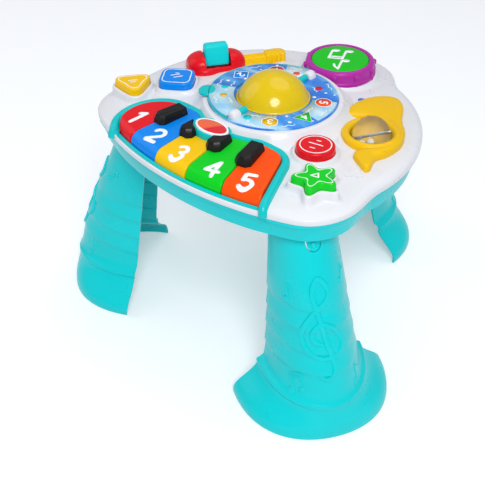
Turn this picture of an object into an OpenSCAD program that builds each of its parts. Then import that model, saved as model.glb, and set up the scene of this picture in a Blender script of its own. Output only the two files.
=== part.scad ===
// Musical activity table: a lobed table top on three open-backed plug-in legs.
// Millimetres, +Z up, floor at z = 0, origin at the bottom centre of the overall box.
// The piano faces -Y. Modules draw in the table frame, whose axis is the centre of the leg circle.

/* [Overall heights] */
// Height of the lower edge of the teal apron
apron_z = 229; // [210:1:240]
// Height of the apron, up to the parting line under the white top
apron_h = 24; // [20:1:28]
// Height of the crown's highest point above the parting line
crown_h = 21; // [19:0.5:25]
// Radius of the crown at its top
crown_r = 1600; // [1200:50:2400]

/* [Table outline] */
// Radius of the middle of the top
body_r = 177; // [170:1:182]
// Distance of the middle circle behind the table axis, towards the piano
body_shift = 8; // [4:1:12]
// Sideways place of the two front lobes
lobe_x = 112; // [108:1:116]
// Distance of the front lobes ahead of the table axis
lobe_y = 72; // [68:1:78]
// Radius of the front lobes
lobe_r = 68; // [66:1:71]
// Distance of the back lobe behind the table axis
back_lobe_y = 130; // [124:1:134]
// Radius of the back lobe
back_lobe_r = 66; // [62:1:70]
// Distance from the table axis to the front edge of the top
front_y = 160; // [158:1:163]
// Radius of the shallow front edge
front_r = 370; // [350:5:400]
// Wall of the moulded shells
wall = 3; // [2.6:0.2:3.4]

/* [Legs] */
// Distance from the table axis to the middle of each foot
foot_u = 162; // [158:1:168]
// Radius of the half-round foot
foot_r = 92; // [88:1:96]
// Distance from the table axis to the middle of each leg at its top
leg_top_u = 137; // [134:1:140]
// Radius of the leg at its top
leg_top_r = 40; // [38:0.5:41]
// Radius of the leg where it meets the foot
leg_low_r = 62; // [58:1:64]
// Height of the bead between leg and foot
bead_z = 42; // [38:1:46]
// Length of leg that plugs into the housing
plug_h = 18; // [15:1:18]
// Overhang of each of the four shingled steps
step_out = 1.2; // [0.8:0.2:1.6]
// Width of the release tab in each leg
tab_w = 14; // [12:1:16]
// Length of the release tab
tab_l = 32; // [28:1:34]

/* [Piano] */
// Number of coloured keys
keys = 5; // [5:1:5]
// Pitch of the coloured keys along their front edge
key_pitch = 47; // [46:0.5:48]
// Distance from the key fronts to the point where the gaps between the keys meet
key_fan_r = 356; // [350:2:380]
// Sideways place of the middle key's front
keyboard_x = -5; // [-7:1:-3]
// Turn of the middle key, in degrees
keyboard_turn = 4; // [3:0.5:5]
// Gap between neighbouring keys
key_gap = 0.8; // [0.6:0.1:1.2]
// Height of the key tops at their front, above the parting line
key_front_h = 20; // [19:0.5:21]
// Slope of the key tops, in degrees
key_slope = 3.8; // [3:0.1:4.5]
// Radius of the rounded key fronts
key_round = 13; // [11:0.5:14]
// Thickness of the key plates
key_t = 3; // [2.4:0.2:3]
// Radius of the rod that the keys turn on
key_rod_r = 1.5; // [1.4:0.1:1.8]
// Width of a black key
black_w = 17; // [15:0.5:19]
// Length of a black key
black_l = 33; // [31:1:36]
// Height of a black key above the coloured ones
black_h = 8; // [7:0.5:10]
// Width of the teal tube around the keys
tube_w = 9; // [7.5:0.5:9.5]
// Height of the tube above the deck
tube_h = 6.5; // [5.5:0.5:7.5]

/* [Page disc] */
// Radius of the picture disc
disc_r = 73.5; // [71:0.5:75]
// Distance of the disc's centre behind the table axis
disc_y = 5.6; // [4:0.2:7]
// Height of the raised seat of the disc above the parting line
seat_h = 31.5; // [30:0.5:33]
// Thickness of the base disc
disc_t = 3; // [2.5:0.1:3]
// Thickness of the turning page
page_t = 2.6; // [2.2:0.1:3]
// Radius of the hinge barrels of the page
page_barrel_r = 3.8; // [3.4:0.1:4]
// Radius of the page's hinge pins
page_pin_r = 1.2; // [1:0.1:1.4]
// Radius of the light dome at its foot
dome_r = 40.5; // [39:0.5:41]
// Rise of the light dome above the picture disc
dome_rise = 28.5; // [24:0.5:32]

/* [Buttons and drum] */
// Radius of the round button
button_r = 20.8; // [19:0.2:22]
// Height of the button tops above the parting line
button_top_h = 30; // [29:0.5:32]
// Height of the white pedestals above the parting line
pedestal_h = 22; // [22:0.5:24]
// Travel of the shaped buttons
button_travel = 3; // [2:0.5:3]
// Gap around each moving cap
cap_gap = 0.35; // [0.3:0.05:0.5]
// Radius of the drum head
drum_head_r = 34.2; // [32:0.2:35]
// Radius of the drum ring
drum_ring_r = 41.5; // [40:0.5:43]
// Height of the drum head above the parting line
drum_top_h = 36; // [34:0.5:38]
// Distance of the drum behind the table axis
drum_y = 126; // [122:1:128]
// Number of lugs around the drum
drum_lugs = 10; // [8:1:12]

/* [Guitar and horn] */
// Direction of the guitar neck, in degrees
guitar_angle = 58; // [54:1:62]
// Half length of the guitar body
guitar_half = 36; // [34:1:37]
// Half width of the guitar body
guitar_w = 22; // [20:1:24]
// Width of the strum paddle
paddle_w = 30; // [26:1:30]
// Height of the paddle above its rod
paddle_h = 27; // [25:1:30]
// Radius of the clear rattle ball
ball_r = 21; // [19:0.5:21.4]
// Inner radius of the horn's coil
coil_r = 23; // [22.6:0.2:24]
// Thickness of the horn's tube
horn_tube = 10; // [9:0.5:11]

/* [Hidden] */

$fn = 96;
eps = 0.01;
TEAL = [0.07, 0.77, 0.78];
WHITE = [0.94, 0.94, 0.96];
RED = [0.91, 0.19, 0.22];
BLUE = [0.04, 0.44, 0.88];
YELLOW = [0.95, 0.77, 0.06];
GREEN = [0.07, 0.78, 0.18];
ORANGE = [1, 0.36, 0.06];
PURPLE = [0.69, 0.16, 0.63];
BLACK = [0.09, 0.09, 0.09];
STEEL = [0.7, 0.72, 0.74];
BOARD = [0.05, 0.35, 0.2];
KEY_COLOURS = [RED, BLUE, YELLOW, GREEN, ORANGE];

// The legs stand at 120 degrees, so the box centre lies behind the table axis by this much.
box_shift = foot_u * (1 - sin(30)) / 2;
part_z = apron_z + apron_h;
crown_z = part_z + crown_h;
floor_z = apron_z + wall;
LEG_ANGLES = [-30, -150, 90];

// A running fit of a rod in its bore, and the gap between parts that only lie side by side.
run_gap = 0.05;
side_gap = 0.3;

// ---------- table outline ----------
front_cy = front_r - front_y;

// The outline of the top, drawn inwards by inset.
module outline(inset) {
    intersection() {
        union() {
            translate([0, -body_shift]) circle(r = body_r - inset);
            for (s = [-1, 1])
                translate([s * lobe_x, -lobe_y]) circle(r = lobe_r - inset);
            translate([0, back_lobe_y]) circle(r = back_lobe_r - inset);
            translate([-lobe_x, -front_y]) square([2 * lobe_x, front_y - lobe_y]);
        }
        translate([0, front_cy]) circle(r = front_r - inset, $fn = 240);
    }
}

// Height of the crowned deck over a point.
function deck_z(x, y) = crown_z - (x * x + y * y) / (2 * crown_r);

// Everything under the crown, lifted by lift.
crown_step = 20;
crown_reach = 260;
module under_crown(lift) {
    rotate_extrude() polygon(concat(
        [[0, apron_z - crown_h], [crown_reach, apron_z - crown_h]],
        [for (r = [crown_reach:-crown_step:0]) [r, deck_z(r, 0) + lift]]));
}

// Shoulder of the top: how far each layer is drawn in, and how high it reaches.
SHOULDER = [[0, 6.5], [2, 9.5], [6, 12.5], [13, crown_h + 8]];

// The whole closed form of the top, lifted by lift and drawn in by inset.
module top_form(inset, lift) {
    intersection() {
        for (s = SHOULDER)
            translate([0, 0, part_z]) linear_extrude(s[1] + lift) outline(s[0] + inset);
        under_crown(lift);
    }
}

// ---------- button outlines ----------
star_turn = 5;
square_turn = 37;
triangle_turn = 85;
star_mean = 18.8;
square_half = 20.2;
triangle_mean = 18.6;
function star_radius(t) = star_mean + 4.6 * cos(5 * t) + 0.7 * cos(10 * t);
function square_radius(t) = square_half / pow(pow(abs(cos(t)), 4) + pow(abs(sin(t)), 4), 0.25);
function triangle_radius(t) = triangle_mean + 3.5 * cos(3 * t) + 0.5 * cos(6 * t);
function button_radius(kind, t) =
    kind == "star" ? star_radius(t) : kind == "square" ? square_radius(t) : triangle_radius(t);
function button_turn(kind) =
    kind == "star" ? star_turn : kind == "square" ? square_turn : triangle_turn;

// [kind, x, y] of the four shaped buttons, set around their lobes.
BUTTONS = [["circle", 97.5, -37], ["star", 134.4, -81.7],
    ["square", -118, -32], ["triangle", -146.5, -75]];

// A button's outline about its own centre, grown outwards by grow.
module button_outline(kind, grow) {
    if (kind == "circle")
        circle(r = button_r + grow);
    else
        rotate(button_turn(kind))
            polygon([for (t = [0:7.5:352.5])
                (button_radius(kind, t) + grow) * [cos(t), sin(t)]]);
}

button_top = part_z + button_top_h;
pedestal_z = part_z + pedestal_h;
well_z = part_z + 9;
flange_t = 2.4;
flange_out = 1.6;
well_t = 2.5;
pedestal_t = 4;
stem_bottom = well_z - flange_t - 4;
switch_h = 5;
plunger_r = 2;
plunger_h = 2;
switch_r = 5;
post_top = stem_bottom - button_travel - side_gap - plunger_h - switch_h;

// ---------- keyboard region ----------
band_w = 2.5;
rail_t = 4.6;
key_front_in = band_w + rail_t + 2 * side_gap;
key_fan = atan(key_pitch / key_fan_r);
fan_x = keyboard_x - key_fan_r * sin(keyboard_turn);
fan_y = key_front_in - front_y + key_fan_r * cos(keyboard_turn);

// Direction of key k, where k + 0.5 is the gap behind it, and its place at a distance along Y.
function key_angle(k) = keyboard_turn + (k - (keys - 1) / 2) * key_fan;
function key_x(k, y) = fan_x + (fan_y - y) * tan(key_angle(k));

// A point beside the gap at angle a, at distance t from the point where the gaps meet.
function gap_point(a, side, t) = [fan_x + side * key_gap / 2 * cos(a) + t * sin(a),
    fan_y + side * key_gap / 2 * sin(a) - t * cos(a)];

// Radius of each rear corner, how far out its middle is, and the lean of the side that follows it.
LEFT_SIDE = [45, 73, -50];
RIGHT_SIDE = [24, 69, key_angle(keys - 0.5)];
region_back_y = -64;
side_end_y = -190;
disc_cut_r = 83;
corner_step = 8;

// One side of the keyboard region: round rear corner, then the straight side to the front.
function key_side(side, off) =
    let (r = side[0] + off, middle_y = region_back_y - side[0], lean = side[2],
        steps = ceil((90 - lean) / corner_step), run = middle_y + r * sin(lean) - side_end_y)
    concat(
        [for (k = [0:steps]) let (t = 90 + k * (lean - 90) / steps)
            [side[1] + r * cos(t), middle_y + r * sin(t)]],
        [[side[1] + r * cos(lean) + run * tan(lean), side_end_y]]);

// The keyboard region on the centre line of the tube, grown outwards by off.
module key_region(off) {
    right = key_side(RIGHT_SIDE, off);
    left = key_side(LEFT_SIDE, off);
    difference() {
        polygon(concat(right, [for (k = [len(left) - 1:-1:0]) [-left[k][0], left[k][1]]]));
        translate([0, disc_y]) circle(r = disc_cut_r - off);
    }
}

// A ring about the centre of the front edge, between two distances inside that edge.
module front_band(out_in, in_in) {
    translate([0, front_cy]) difference() {
        circle(r = front_r - out_in, $fn = 240);
        circle(r = front_r - in_in, $fn = 240);
    }
}

band_top = part_z + 6;
rail_top = part_z + 7.5;
rail_bottom = part_z + 2;
key_front_z = part_z + key_front_h;
key_rod_y = -63;
key_rod_z = part_z + 9;
key_barrel_r = 3.5;
key_arm_w = 12;
key_arm_front = -104;
key_arm_block = 8;
skirt_t = 1.8;
skirt_z = part_z + 15.5;
key_rho = front_r - key_front_in;
function key_top(rho) = key_front_z + (key_rho - key_round - rho) * tan(key_slope);

// Badge: the oval mode button and its cup at the back of the keyboard.
badge_x = -6;
badge_y = -86;
badge_a = 22;
badge_b = 13;
badge_rim = 3.5;
badge_top = part_z + 30;
badge_floor = part_z + 15;
badge_lip = part_z + 24;
badge_travel = 1.5;
cup_floor_t = 1.5;
badge_clear = 0.7;
module badge_outline(grow) {
    translate([badge_x, badge_y])
        polygon([for (t = [0:10:350]) [(badge_a + grow) * cos(t), (badge_b + grow) * sin(t)]]);
}

// ---------- disc, page and dome ----------
seat_z = part_z + seat_h;
seat_depth = 1.5;
disc_top = seat_z - seat_depth + disc_t;
seat_top_r = disc_r + 5;
seat_foot_r = disc_r + 19;
page_z = disc_top + side_gap;
page_axis_z = page_z + page_t / 2;
page_in_r = dome_r + 3;
barrel_from = page_in_r + 1.5;
barrel_to = barrel_from + 12;
boss_to = barrel_to + 11;
boss_w = 12;
boss_rise = 4.5;
boss_clear = 2.2;
page_tab_angle = -144;
page_tab_r = 10;
page_tab_at = disc_r;
dome_flange_r = dome_r + 1.5;
dome_t = 2;
dome_sphere_r = (dome_r * dome_r + dome_rise * dome_rise) / (2 * dome_rise);
dome_centre_z = disc_top + dome_rise - dome_sphere_r;
light_hole_r = 34;

// ---------- drum ----------
drum_top = part_z + drum_top_h;
drum_seat_z = part_z + 19;
drum_lip = 3;
drum_flange_t = 2.5;
drum_flange_out = 2.6;
drum_travel = 2;
drum_stem_r = 9;
drum_lug_out = 3;

// ---------- guitar ----------
guitar_x = -119.5;
guitar_y = 34;
guitar_base_z = part_z + 24;
guitar_round_r = 24;
guitar_top = part_z + 37;
strum_z = part_z + 21;
strum_rod_r = 1.6;
strum_rod_l = paddle_w + 10;
paddle_foot = 13;
paddle_head = 6;
paddle_hub = 9;
neck_from = guitar_half - 2;
neck_to = 65;
head_to = 89;
neck_half = 6;
head_half = 9;
neck_top = part_z + 26;
head_top = part_z + 28;

// ---------- horn and ball ----------
ball_x = 118;
ball_y = 33;
ball_z = part_z + 19;
ball_t = 1.6;
ball_axis = 62;
ball_rod_r = 1.5;
ball_rod_l = 2 * (coil_r + 6);
ball_hub_r = 4;
rattle_bead_r = 3.4;
beads = 6;
horn_top = part_z + 24.5;
coil_out = coil_r + horn_tube;

// ---------- inside ----------
SCREWS = [[126, -116], [-130, -113], [150, 12], [-150, 12], [50, 118], [-50, 118]];
screw_r = 1.5;
screw_head_r = 2.8;
screw_head_h = 2;
screw_l = 16;
screw_boss_r = 4.2;
screw_post_r = 5;
screw_joint_z = floor_z + 8;
screw_seat_z = apron_z + 6;
battery_r = 7.1;
battery_l = 50.4;
battery_gap = 0.6;
cells = 3;
box_x = battery_l + 10;
box_y = cells * (2 * battery_r + battery_gap) + 6;
box_h = 18;
box_t = 1.6;
board_t = 1.6;
board_x = 112;
board_y = 78;
board_z = floor_z + box_h + 1;
stand_r = 3;
speaker_r = 20;
speaker_h = 9;
speaker_y = 66;
slider_x = -70;
slider_y = 20;
slider_w = 8;
slider_d = 6;
slider_travel = 6;
key_board_z = part_z;
key_board_y = -126;
key_board_d = 12;
key_board_end = 8;

module at_leg(angle) rotate(angle) children();

// ---------- legs, drawn along +X ----------
collar_gap = 0.4;
leg_seat_gap = 0.1;
bead_r = 2.4;
collar_top = apron_z + plug_h;
leg_drop = apron_z - bead_z;
leg_slope = atan((foot_u - leg_top_u) / leg_drop);
leg_len = leg_drop / cos(leg_slope);
STEP_FROM = 0.40;
STEP_SPAN = 0.10;
step_count = 4;

function leg_r(t) = leg_top_r + (leg_low_r - leg_top_r) * t;

// One cone of the leg between two fractions of its length, wider by out at its low end.
module leg_cone(t0, t1, g, out) {
    translate([0, 0, t0 * leg_len])
        cylinder(h = (t1 - t0) * leg_len + eps, r1 = leg_r(t0) - g, r2 = leg_r(t1) - g + out);
}

// The solid form of a leg, drawn in by g, before it is halved.
module leg_form(g) {
    translate([leg_top_u, 0, apron_z - 8 - g / 2])
        cylinder(h = plug_h + 8 + g, r = leg_top_r - 1 - g);
    intersection() {
        translate([leg_top_u, 0, apron_z]) rotate([0, 180 - leg_slope, 0]) {
            leg_cone(-0.1, STEP_FROM, g, step_out);
            for (i = [0:step_count - 2])
                leg_cone(STEP_FROM + i * STEP_SPAN, STEP_FROM + (i + 1) * STEP_SPAN, g, step_out);
            leg_cone(STEP_FROM + (step_count - 1) * STEP_SPAN, 1.15, g, 0);
        }
        translate([0, -2 * foot_r, 0])
            cube([2 * foot_u, 4 * foot_r, apron_z - leg_seat_gap - g / 2]);
    }
    translate([foot_u, 0, -g]) rotate_extrude()
        polygon([[0, 0], [foot_r - g, 0], [foot_r - g, 11], [foot_r - 4 - g, 15],
            [foot_r - 15 - g, 23], [leg_low_r + 5 - g, bead_z - 7], [leg_low_r + 1 - g, bead_z],
            [leg_low_r - g, bead_z + 5], [0, bead_z + 5]]);
}

// The outward half of space, split along the leg's own axis.
module leg_half() {
    reach = foot_u + 2 * foot_r;
    rotate([90, 0, 0]) translate([0, 0, -reach])
        linear_extrude(2 * reach)
            polygon([[leg_top_u, 2 * apron_z], [leg_top_u, apron_z], [foot_u, bead_z],
                [foot_u, -10], [reach, -10], [reach, 2 * apron_z]]);
}

module leg_shell() {
    intersection() {
        difference() {
            union() {
                leg_form(0);
                translate([foot_u, 0, bead_z]) rotate_extrude()
                    translate([leg_low_r + bead_r / 2, 0]) circle(r = bead_r);
            }
            leg_form(wall);
        }
        leg_half();
        translate([0, -2 * foot_r, 0]) cube([2 * foot_u, 4 * foot_r, collar_top]);
    }
}

// The release tab's outline as a prism through the leg's outer wall.
tab_top_z = apron_z + plug_h - 6;
tab_low_z = tab_top_z - tab_l;
module tab_prism(grow) {
    low = tab_low_z + tab_w / 2;
    translate([leg_top_u + 20, 0, 0]) rotate([0, 90, 0]) linear_extrude(60) {
        translate([-low, 0]) circle(r = tab_w / 2 + grow);
        translate([-tab_top_z - grow, -tab_w / 2 - grow])
            square([tab_top_z - low + grow, tab_w + 2 * grow]);
    }
}
tab_slot = 0.7;
tab_dot_r = 3;
tab_dot_z = tab_low_z + tab_w / 2;
tab_dot_u = leg_top_u + leg_top_r + (apron_z - tab_dot_z) * tan(leg_slope) - 1;

module leg(angle) {
    color(TEAL) at_leg(angle) difference() {
        leg_shell();
        tab_prism(tab_slot);
    }
}

module release_tab(angle) {
    color(TEAL) at_leg(angle) {
        intersection() {
            leg_shell();
            tab_prism(0);
        }
        translate([tab_dot_u, 0, tab_dot_z]) rotate([0, 90, 0]) cylinder(h = 4, r = tab_dot_r);
    }
}

// ---------- shells ----------
module screw_places() {
    for (p = SCREWS) translate([p[0], p[1], 0]) children();
}

// Plates under the deck that carry the key rod.
hanger_t = 3;
hanger_w = 5.6;
function hanger_top(x) = abs(x) < seat_top_r / 2 ? seat_z - seat_depth - wall / 2
    : deck_z(x, key_rod_y) - wall / 2;
module key_hangers() {
    for (k = [0:keys]) {
        x = key_x(k - 0.5, key_rod_y);
        translate([x - hanger_t / 2, key_rod_y - hanger_w / 2, key_rod_z - hanger_w / 2])
            cube([hanger_t, hanger_w, hanger_top(x) - key_rod_z + hanger_w / 2]);
    }
}
key_rod_from = key_x(-0.5, key_rod_y) - hanger_t / 2;
key_rod_to = key_x(keys - 0.5, key_rod_y) + hanger_t / 2;

// Where the hinge bosses of the page stand, at both ends of its axis.
module page_ends() {
    for (a = [0, 180]) translate([0, disc_y, 0]) rotate(a) children();
}

// The raised cone that carries the picture disc, drawn in by inset.
seat_drop = 8;
module seat_cone(inset) {
    translate([0, disc_y, crown_z - seat_drop])
        cylinder(h = seat_z - crown_z + seat_drop, r1 = seat_foot_r - inset, r2 = seat_top_r - inset);
}

// Room for what stands against the cone: the drum and the horn.
module seat_neighbours() {
    translate([0, drum_y, drum_seat_z]) cylinder(h = seat_h, r = drum_ring_r + drum_lug_out + side_gap);
    translate([ball_x, ball_y, part_z]) cylinder(h = 2 * seat_h, r = coil_out + side_gap);
}

module top_shell_walls() {
    difference() {
        union() {
            top_form(0, 0);
            difference() {
                seat_cone(0);
                seat_neighbours();
            }
            for (b = BUTTONS) translate([b[1], b[2], part_z + 8])
                linear_extrude(pedestal_h - 8) button_outline(b[0], pedestal_t);
            translate([0, drum_y, part_z + 10])
                cylinder(h = drum_seat_z - part_z - 10, r = drum_ring_r + 3);
        }
        translate([0, 0, -wall]) top_form(wall, 0);
        difference() {
            translate([0, 0, -wall - seat_depth]) seat_cone(wall);
            seat_neighbours();
        }
    }
}

module top_shell() {
    color(WHITE) difference() {
        union() {
            top_shell_walls();
            for (b = BUTTONS) translate([b[1], b[2], well_z])
                linear_extrude(pedestal_z - well_z - 1) button_outline(b[0], cap_gap + well_t);
            for (p = SCREWS) translate([p[0], p[1], screw_joint_z])
                cylinder(h = deck_z(p[0], p[1]) - wall / 2 - screw_joint_z, r = screw_boss_r);
            translate([0, drum_y, well_z])
                cylinder(h = drum_seat_z - well_z - 1, r = drum_stem_r + cap_gap + well_t);
            key_hangers();
            page_ends() translate([-boss_w / 2, barrel_to + side_gap, seat_z - seat_depth - wall / 2])
                cube([boss_w, boss_to - barrel_to - side_gap,
                    page_axis_z + boss_rise - seat_z + seat_depth + wall / 2]);
        }
        // Seat of the picture disc and the light hole under the dome.
        difference() {
            translate([0, disc_y, seat_z - seat_depth]) cylinder(h = 20, r = disc_r + side_gap);
            page_ends() translate([-boss_w / 2, barrel_to + side_gap, 0])
                cube([boss_w, boss_to - barrel_to - side_gap, 2 * part_z]);
        }
        translate([0, disc_y, part_z]) cylinder(h = 2 * seat_h, r = light_hole_r);
        page_ends() translate([0, barrel_to, page_axis_z]) rotate([-90, 0, 0])
            cylinder(h = boss_to - barrel_to - 2, r = page_pin_r + run_gap);
        // Wells of the buttons, the drum, the paddle and the ball.
        for (b = BUTTONS) translate([b[1], b[2], part_z - 1]) {
            linear_extrude(2 * crown_h) button_outline(b[0], cap_gap);
            linear_extrude(well_z - part_z + 1) button_outline(b[0], flange_out + cap_gap);
        }
        translate([0, drum_y, part_z]) cylinder(h = 2 * crown_h, r = drum_stem_r + cap_gap);
        at_guitar() translate([-paddle_w / 2 - side_gap, -paddle_foot - 4, part_z])
            cube([paddle_w + 2 * side_gap, 2 * paddle_foot + 8, 2 * crown_h]);
        translate([ball_x, ball_y, part_z]) cylinder(h = 2 * crown_h, r = coil_r);
        // Room for the cup of the oval button, then the keyboard opening with a low band along its front.
        translate([0, 0, badge_floor - cup_floor_t - side_gap])
            linear_extrude(2 * seat_h) badge_outline(badge_rim + side_gap);
        translate([0, 0, part_z - 1]) linear_extrude(4 * crown_h) intersection() {
            key_region(-1);
            translate([0, front_cy]) circle(r = front_r - band_w, $fn = 240);
        }
        translate([0, 0, band_top]) linear_extrude(4 * crown_h) intersection() {
            key_region(-1);
            front_band(-10, 20);
        }
        translate([key_rod_from - 1, key_rod_y, key_rod_z]) rotate([0, 90, 0])
            cylinder(h = key_rod_to - key_rod_from + 2, r = key_rod_r + run_gap);
        screw_places() translate([0, 0, screw_joint_z - 1])
            cylinder(h = screw_l - 6, r = screw_r + run_gap);
    }
}

lip_h = 4;
taper = 1.035;
apron_in = 9;
module apron_form(inset) {
    translate([0, 0, apron_z])
        linear_extrude(apron_h, scale = taper) outline(apron_in + inset);
}

module leg_band(r_in, r_out, z0, h) {
    translate([leg_top_u, 0, z0]) rotate(-90) rotate_extrude(angle = 180)
        translate([r_in, 0]) square([r_out - r_in, h]);
}

module base_shell() {
    plug_r = leg_top_r - 1;
    color(TEAL) difference() {
        union() {
            difference() {
                union() {
                    apron_form(0);
                    translate([0, 0, part_z - lip_h]) linear_extrude(lip_h) outline(2);
                }
                translate([0, 0, floor_z]) linear_extrude(apron_h - wall - lip_h + eps)
                    outline(apron_in + wall);
                translate([0, 0, part_z - lip_h]) linear_extrude(2 * lip_h)
                    outline(apron_in);
            }
            for (a = LEG_ANGLES) at_leg(a) {
                leg_band(plug_r + collar_gap, plug_r + collar_gap + 2.4, apron_z, plug_h + 2);
                leg_band(plug_r - wall - 2, plug_r + collar_gap + 2.4, collar_top, 2);
            }
            screw_places() translate([0, 0, apron_z])
                cylinder(h = screw_joint_z - apron_z, r = screw_post_r);
            switch_places() translate([0, 0, apron_z])
                cylinder(h = post_top - apron_z, r = switch_r);
            for (x = [-1, 1]) for (y = [-1, 1])
                translate([x * (board_x / 2 - 5), y * (board_y / 2 - 5), apron_z])
                    cylinder(h = board_z - apron_z, r = stand_r);
            for (k = [0:keys - 1]) translate([key_x(k, key_board_y), key_board_y, apron_z])
                cylinder(h = key_board_z - apron_z, r = stand_r);
        }
        for (a = LEG_ANGLES) at_leg(a) {
            translate([0, 0, -eps])
                leg_band(plug_r - wall - collar_gap, plug_r + collar_gap, apron_z - 1, plug_h + 1);
            translate([leg_top_u + plug_r - wall - 6, -tab_w / 2 - 1, apron_z - 1])
                cube([8, tab_w + 2, plug_h + 1]);
        }
        screw_places() {
            translate([0, 0, apron_z - 1])
                cylinder(h = screw_seat_z - apron_z + 1, r = screw_head_r + side_gap);
            translate([0, 0, apron_z]) cylinder(h = 40, r = screw_r + run_gap);
        }
        translate([-box_x / 2 + 2, -box_y / 2 + 2, apron_z - 1]) cube([box_x - 4, box_y - 4, wall + 2]);
        translate([slider_x - slider_w / 2 - side_gap, slider_y - slider_d / 2 - side_gap, apron_z - 1])
            cube([slider_w + slider_travel + 2 * side_gap, slider_d + 2 * side_gap, wall + 2]);
        for (i = [-2:2]) for (j = [-2:2])
            translate([i * 6, speaker_y + j * 6, apron_z - 1]) cylinder(h = wall + 2, r = 1.5);
    }
}

// ---------- keyboard ----------
module keyboard_frame() {
    color(TEAL) {
        difference() {
            union() {
                // Tube that follows the deck and its shoulder.
                intersection() {
                    translate([0, 0, part_z]) linear_extrude(3 * crown_h) difference() {
                        intersection() {
                            key_region(tube_w / 2);
                            translate([0, front_cy]) circle(r = front_r - 1, $fn = 240);
                        }
                        key_region(-tube_w / 2);
                    }
                    difference() {
                        top_form(-2, tube_h);
                        top_form(0, 0);
                    }
                }
                // Skirt inside the opening.
                intersection() {
                    translate([0, 0, skirt_z]) linear_extrude(crown_h) difference() {
                        key_region(-tube_w / 2 + skirt_t);
                        key_region(-tube_w / 2);
                        front_band(-60, band_w + 14);
                    }
                    under_crown(tube_h);
                }
                // Rail along the front of the keys.
                translate([0, 0, rail_bottom]) linear_extrude(rail_top - rail_bottom) intersection() {
                    key_region(-1 - side_gap);
                    front_band(band_w + side_gap, band_w + side_gap + rail_t);
                }
                // Feet of the tube at both ends of the rail.
                intersection() {
                    translate([0, 0, rail_bottom]) linear_extrude(crown_h) difference() {
                        intersection() {
                            key_region(-1 - side_gap);
                            front_band(band_w + side_gap, band_w + 14);
                        }
                        key_region(-tube_w / 2);
                    }
                    top_form(-2, tube_h);
                }
            }
            seat_cone(-side_gap);
            translate([0, disc_y, part_z]) cylinder(h = 2 * seat_h, r = seat_top_r + side_gap);
            translate([0, 0, badge_floor]) linear_extrude(crown_h) badge_outline(badge_rim - 0.5);
        }
        // Cup of the oval mode button.
        difference() {
            translate([0, 0, badge_floor - cup_floor_t])
                linear_extrude(badge_top - 0.5 - badge_floor + cup_floor_t) badge_outline(badge_rim);
            translate([0, 0, badge_floor]) linear_extrude(badge_lip - badge_floor)
                badge_outline(1.4);
            translate([0, 0, badge_floor]) linear_extrude(crown_h) badge_outline(cap_gap);
        }
    }
}

// The curved key plate about the centre of the front edge: slope, rounded front and lip.
module key_plate() {
    inner = key_round - key_t;
    back = front_r - front_y - 2 * body_shift;
    translate([0, front_cy, 0]) rotate([0, 0, -125]) rotate_extrude(angle = 70, $fn = 240)
        polygon(concat(
            [[back, key_top(back)]],
            [for (t = [90:-10:0]) [key_rho - key_round + key_round * cos(t),
                key_front_z - key_round + key_round * sin(t)]],
            [[key_rho, rail_top - 4], [key_rho - key_t, rail_top - 4]],
            [for (t = [0:10:90]) [key_rho - key_round + inner * cos(t),
                key_front_z - key_round + inner * sin(t)]],
            [[back, key_top(back) - key_t]]));
}

// The room of one key between its two gaps; the outer keys reach to the frame.
module key_sector(i) {
    from = key_angle(i - 0.5) - (i == 0 ? key_fan : 0);
    to = key_angle(i + 0.5) + (i == keys - 1 ? key_fan : 0);
    near = key_fan_r / 4;
    far = 2 * key_fan_r;
    polygon([gap_point(from, 1, near), gap_point(from, 1, far),
        gap_point(to, -1, far), gap_point(to, -1, near)]);
}

module key(i) {
    x = key_x(i, (key_arm_front + key_rod_y) / 2);
    arm_z = key_rod_z - key_barrel_r + 1.5;
    color(KEY_COLOURS[i]) difference() {
        union() {
            intersection() {
                key_plate();
                translate([0, 0, part_z - 20]) linear_extrude(80) difference() {
                    intersection() {
                        key_sector(i);
                        key_region(-tube_w / 2 - side_gap);
                    }
                    badge_outline(badge_rim + badge_clear);
                    // The middle key ends at the cup.
                    if (i == (keys - 1) / 2)
                        translate([badge_x - badge_a - badge_rim, badge_y])
                            square(2 * [badge_a + badge_rim, badge_b + badge_rim]);
                }
            }
            translate([x - key_arm_w / 2, key_arm_front - key_arm_block, arm_z])
                cube([key_arm_w, key_rod_y - key_arm_front + key_arm_block, key_barrel_r]);
            translate([x - key_arm_w / 2, key_arm_front - key_arm_block, arm_z])
                cube([key_arm_w, key_arm_block, key_top(front_cy - key_arm_front) - arm_z - key_t / 2]);
            translate([x - key_arm_w / 2, key_rod_y, key_rod_z]) rotate([0, 90, 0])
                cylinder(h = key_arm_w, r = key_barrel_r);
            translate([key_x(i, key_board_y) - 2, key_board_y - 2, key_post_z])
                cube([4, 4, key_front_z - key_t / 2 - key_post_z]);
        }
        translate([x - key_arm_w, key_rod_y, key_rod_z]) rotate([0, 90, 0])
            cylinder(h = 2 * key_arm_w, r = key_rod_r + run_gap);
    }
}
dome_h = 2.5;
dome_gap = 3.6;
key_post_z = key_board_z + board_t + dome_h + dome_gap;

module key_rod() {
    color(STEEL) translate([key_rod_from, key_rod_y, key_rod_z]) rotate([0, 90, 0])
        cylinder(h = key_rod_to - key_rod_from, r = key_rod_r);
}

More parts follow.
